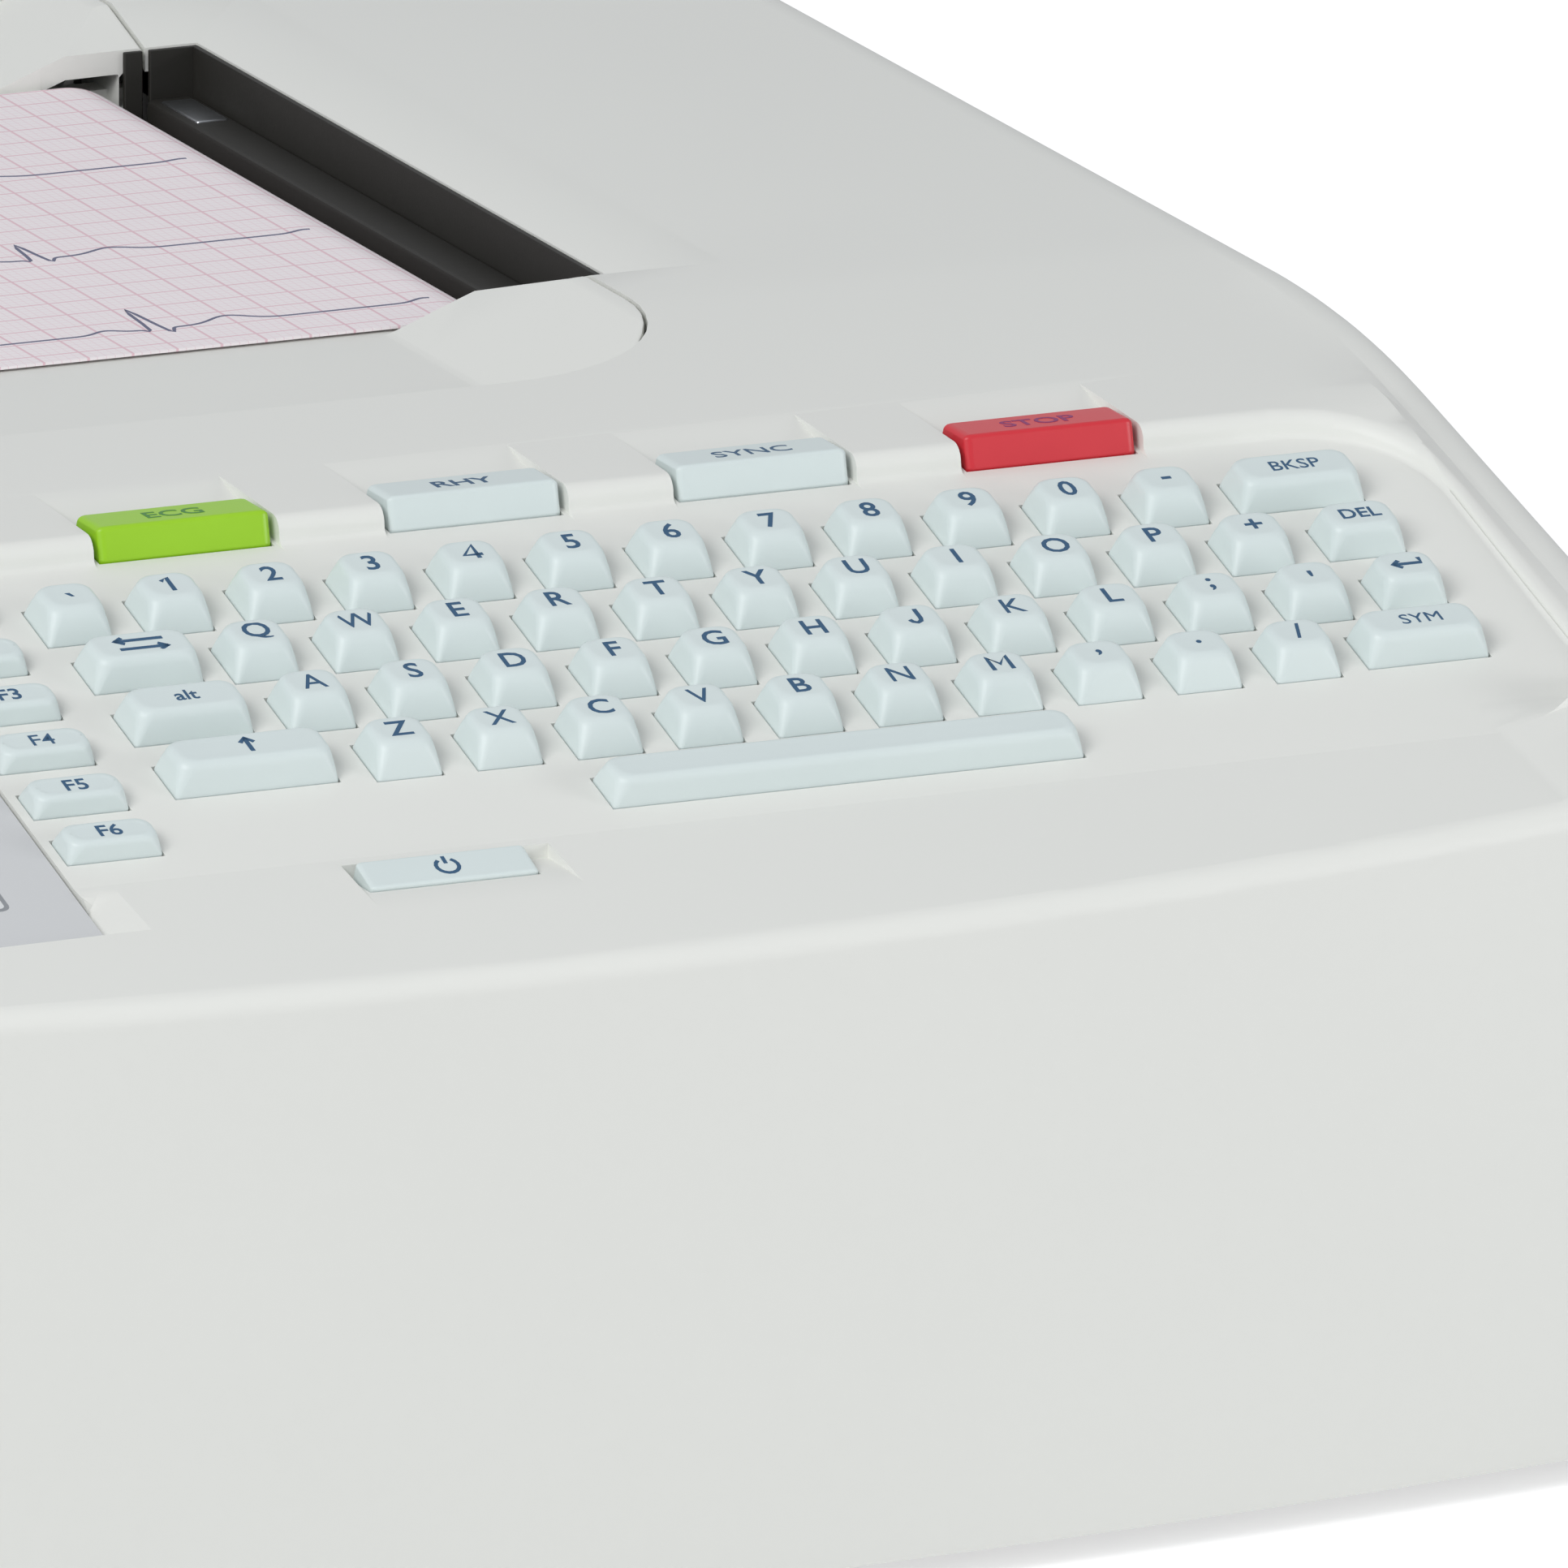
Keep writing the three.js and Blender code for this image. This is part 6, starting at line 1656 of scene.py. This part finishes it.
@dataclass
class Screws:
    """Cross-recessed screws that close the casing from below."""

    names: tuple[str, ...] = ("front_right_housing_screw", "front_left_housing_screw",
                              "rear_right_housing_screw", "rear_left_housing_screw")
    steps: int = 24
    thread: tuple[Point, ...] = ((0.42, 0.0), (0.53, 0.35), (0.42, 0.7))
    thread_start: float = 1.8
    thread_pitch: float = 0.8
    point: float = 1.2

    def build(self) -> None:
        """Builds each screw with a cross recess and a ringed shank."""
        cross = np.where(np.cos(4 * np.linspace(0, 2 * math.pi, self.steps + 1)[:-1]) > 0.2, 1.0, 0.34)
        head = [(0.15 * cross, 1.0), (0.42 * cross, 0.9), (0.55 * cross, 0.02), (0.9, 0.0), (1.0, 0.35), (1.0, 1.5),
                (0.5, 1.6)]
        for name in self.names:
            (x0, y0, z0), (x1, y1, z1) = box_of(name)
            profile, z = [(share, z0 + rise) for share, rise in head], z0 + self.thread_start
            while z < z1 - self.point:
                profile += [(share, z + rise) for share, rise in self.thread]
                z += self.thread_pitch
            profile += [(0.3, z1 - 0.3), (0.1, z1)]
            profile = [((x1 - x0) / 2 * share, z) for share, z in profile]
            solid = Solid().rings(turned((x0 + x1) / 2, (y0 + y1) / 2, profile, self.steps), STEEL)
            settle(solid.object(f"{name}_steel", 30), Body.MACHINE.value, name)


@dataclass
class LatchButton:
    """The ribbed button at the left that frees the cover."""

    ribs: int = 5
    rib_pitch: float = 2.6
    rib_rise: float = 0.5
    rib_half: float = 0.5
    lip: float = 1.2
    lip_thickness: float = 1.5

    def build(self) -> None:
        """Builds the button, its grip ribs and its lip."""
        (x0, y0, z0), (x1, y1, z1) = box_of("cover_latch_button")
        solid, face, back, lip = Solid(), x0 + self.rib_rise, x1 - self.lip_thickness, self.lip
        loop = Loop(rounded_box(y0 + lip, y1 - lip, z0 + lip, z1 - lip, [lip] * 4, 5))
        rings = []
        for inset, x in ((0, back), (0, face + 0.7), (0.08, face + 0.35), (0.3, face + 0.12), (0.7, face)):
            rings.append(np.array([(x, y, z) for y, z in loop.parallel(inset)])[::-1])
        solid.rings(rings, KEY)
        for i in range(self.ribs):
            y = (y0 + y1) / 2 + (i - (self.ribs - 1) / 2) * self.rib_pitch
            solid.block((x0, y - self.rib_half, z0 + 3), (face + 0.2, y + self.rib_half, z1 - 3), KEY, 0.3)
        solid.block((back, y0, z0), (x1, y1, z1), KEY, 0.3)
        settle(solid.object("latch_push_button", 35), Body.LATCH.value, "cover_latch_button")


@dataclass(frozen=True)
class PackedPieces:
    """The inner solids that are shown as packed, each with its own finish."""

    finishes: tuple[tuple[str, Finish], ...] = tuple(NODE_FINISHES.items())

    def build(self) -> None:
        """Gives each solid its material."""
        nodes = frame["nodes"]
        for name, finish in self.finishes:
            materials = nodes[name].data.materials
            materials.clear()
            materials.append(finish.material())
            LOG.info("%s keeps its packed shape", name)


@dataclass(frozen=True)
class SoftBox:
    """One square area light: its name, place in metres, width and power."""

    name: str
    place: Triple
    size: float
    power: float


@dataclass
class Studio:
    """Pale floor, soft lights and the camera that took the picture."""

    eye: Triple = (-1709.7, -4105.3, 1228.8)
    azimuth: float = 23.71
    elevation: float = 14.85
    roll: float = 0.18
    lens: float = 1021.2
    sensor: float = 36.0
    clip: Span = (0.5, 30.0)
    floor_size: float = 30.0
    floor_colour: str = "d2d2d2"
    floor_glow: float = 0.62
    air: Triple = (0.42, 0.43, 0.45)
    aim: Triple = (0.0, -0.05, 0.05)
    boxes: tuple[SoftBox, ...] = (
        SoftBox("key", (-1.6, -1.15, 1.5), 1.2, 33.0), SoftBox("fill", (0.85, -0.75, 0.22), 0.45, 3.0),
        SoftBox("top", (0.4, 0.3, 2.2), 1.6, 1.0), SoftBox("back", (0.9, 2.4, 1.0), 2.0, 3.0))

    def build(self) -> None:
        """Builds the floor, the lights, the world and the camera."""
        self.floor()
        self.lights()
        self.world()
        self.camera()

    def floor(self) -> None:
        """Lays a wide pale floor under the machine, which the camera sees as white."""
        bpy.ops.mesh.primitive_plane_add(size=self.floor_size, location=(0, 0, 0))
        floor = bpy.context.object
        floor.name = "studio_floor"
        finish = Finish("studio_floor", "", self.floor_colour, 0.9, mottle=0.004, mottle_size=400.0, grain=0.0)
        made = finish.material()
        nodes, links = made.node_tree.nodes, made.node_tree.links
        seen = nodes.new("ShaderNodeLightPath")
        glow = nodes.new("ShaderNodeMath")
        glow.operation = "MULTIPLY"
        glow.inputs[1].default_value = self.floor_glow
        links.new(seen.outputs["Is Camera Ray"], glow.inputs[0])
        links.new(glow.outputs[0], nodes["Principled BSDF"].inputs["Emission Strength"])
        nodes["Principled BSDF"].inputs["Emission Color"].default_value = (1, 1, 1, 1)
        floor.data.materials.append(made)

    def lights(self) -> None:
        """Hangs the soft boxes."""
        for box in self.boxes:
            light = bpy.data.lights.new(box.name, "AREA")
            light.shape = "SQUARE"
            light.size = box.size
            light.energy = box.power
            piece = bpy.data.objects.new(box.name, light)
            piece.location = box.place
            piece.rotation_euler = (Vector(self.aim) - Vector(box.place)).to_track_quat("-Z", "Y").to_euler()
            bpy.context.scene.collection.objects.link(piece)

    def world(self) -> None:
        """Makes the surroundings white to the camera and evenly lit elsewhere."""
        world = bpy.data.worlds.new("studio")
        bpy.context.scene.world = world
        world.use_nodes = True
        nodes, links = world.node_tree.nodes, world.node_tree.links
        back = nodes["Background"]
        ray = nodes.new("ShaderNodeLightPath")
        seen = nodes.new("ShaderNodeMix")
        seen.data_type = "RGBA"
        seen.inputs[MIX_A].default_value = (*self.air, 1)
        seen.inputs[MIX_B].default_value = (1, 1, 1, 1)
        links.new(ray.outputs["Is Camera Ray"], seen.inputs[0])
        links.new(seen.outputs[MIX_OUT], back.inputs["Color"])
        back.inputs["Strength"].default_value = 1.0

    def camera(self) -> None:
        """Places the camera worked out from the photograph."""
        az, el, roll = (math.radians(v) for v in (self.azimuth, self.elevation, self.roll))
        right = Vector((math.cos(az), -math.sin(az), 0))
        ahead = Vector((math.sin(az) * math.cos(el), math.cos(az) * math.cos(el), -math.sin(el)))
        up = right.cross(ahead)
        r2 = right * math.cos(roll) + up * math.sin(roll)
        u2 = up * math.cos(roll) - right * math.sin(roll)
        turn = Matrix((r2, u2, -ahead)).transposed().to_4x4()
        lens = bpy.data.cameras.new("camera")
        lens.lens, lens.sensor_width = self.lens, self.sensor
        lens.clip_start, lens.clip_end = self.clip
        piece = bpy.data.objects.new("camera", lens)
        piece.matrix_world = Matrix.Translation(Vector(self.eye) * MM) @ turn
        bpy.context.scene.collection.objects.link(piece)
        bpy.context.scene.camera = piece


def main() -> None:
    """Builds every sub-assembly in order."""
    logging.basicConfig(level=logging.INFO, format="%(name)s: %(message)s")
    bpy.context.scene.view_settings.view_transform = "Standard"
    for assembly in (TopHousing, Keyboard, Display, WriterCover, ChartPaperStrip, PrintHead, LatchButton, Feet,
                     Screws, PackedPieces, Studio):
        assembly().build()


if __name__ == "__main__":
    main()
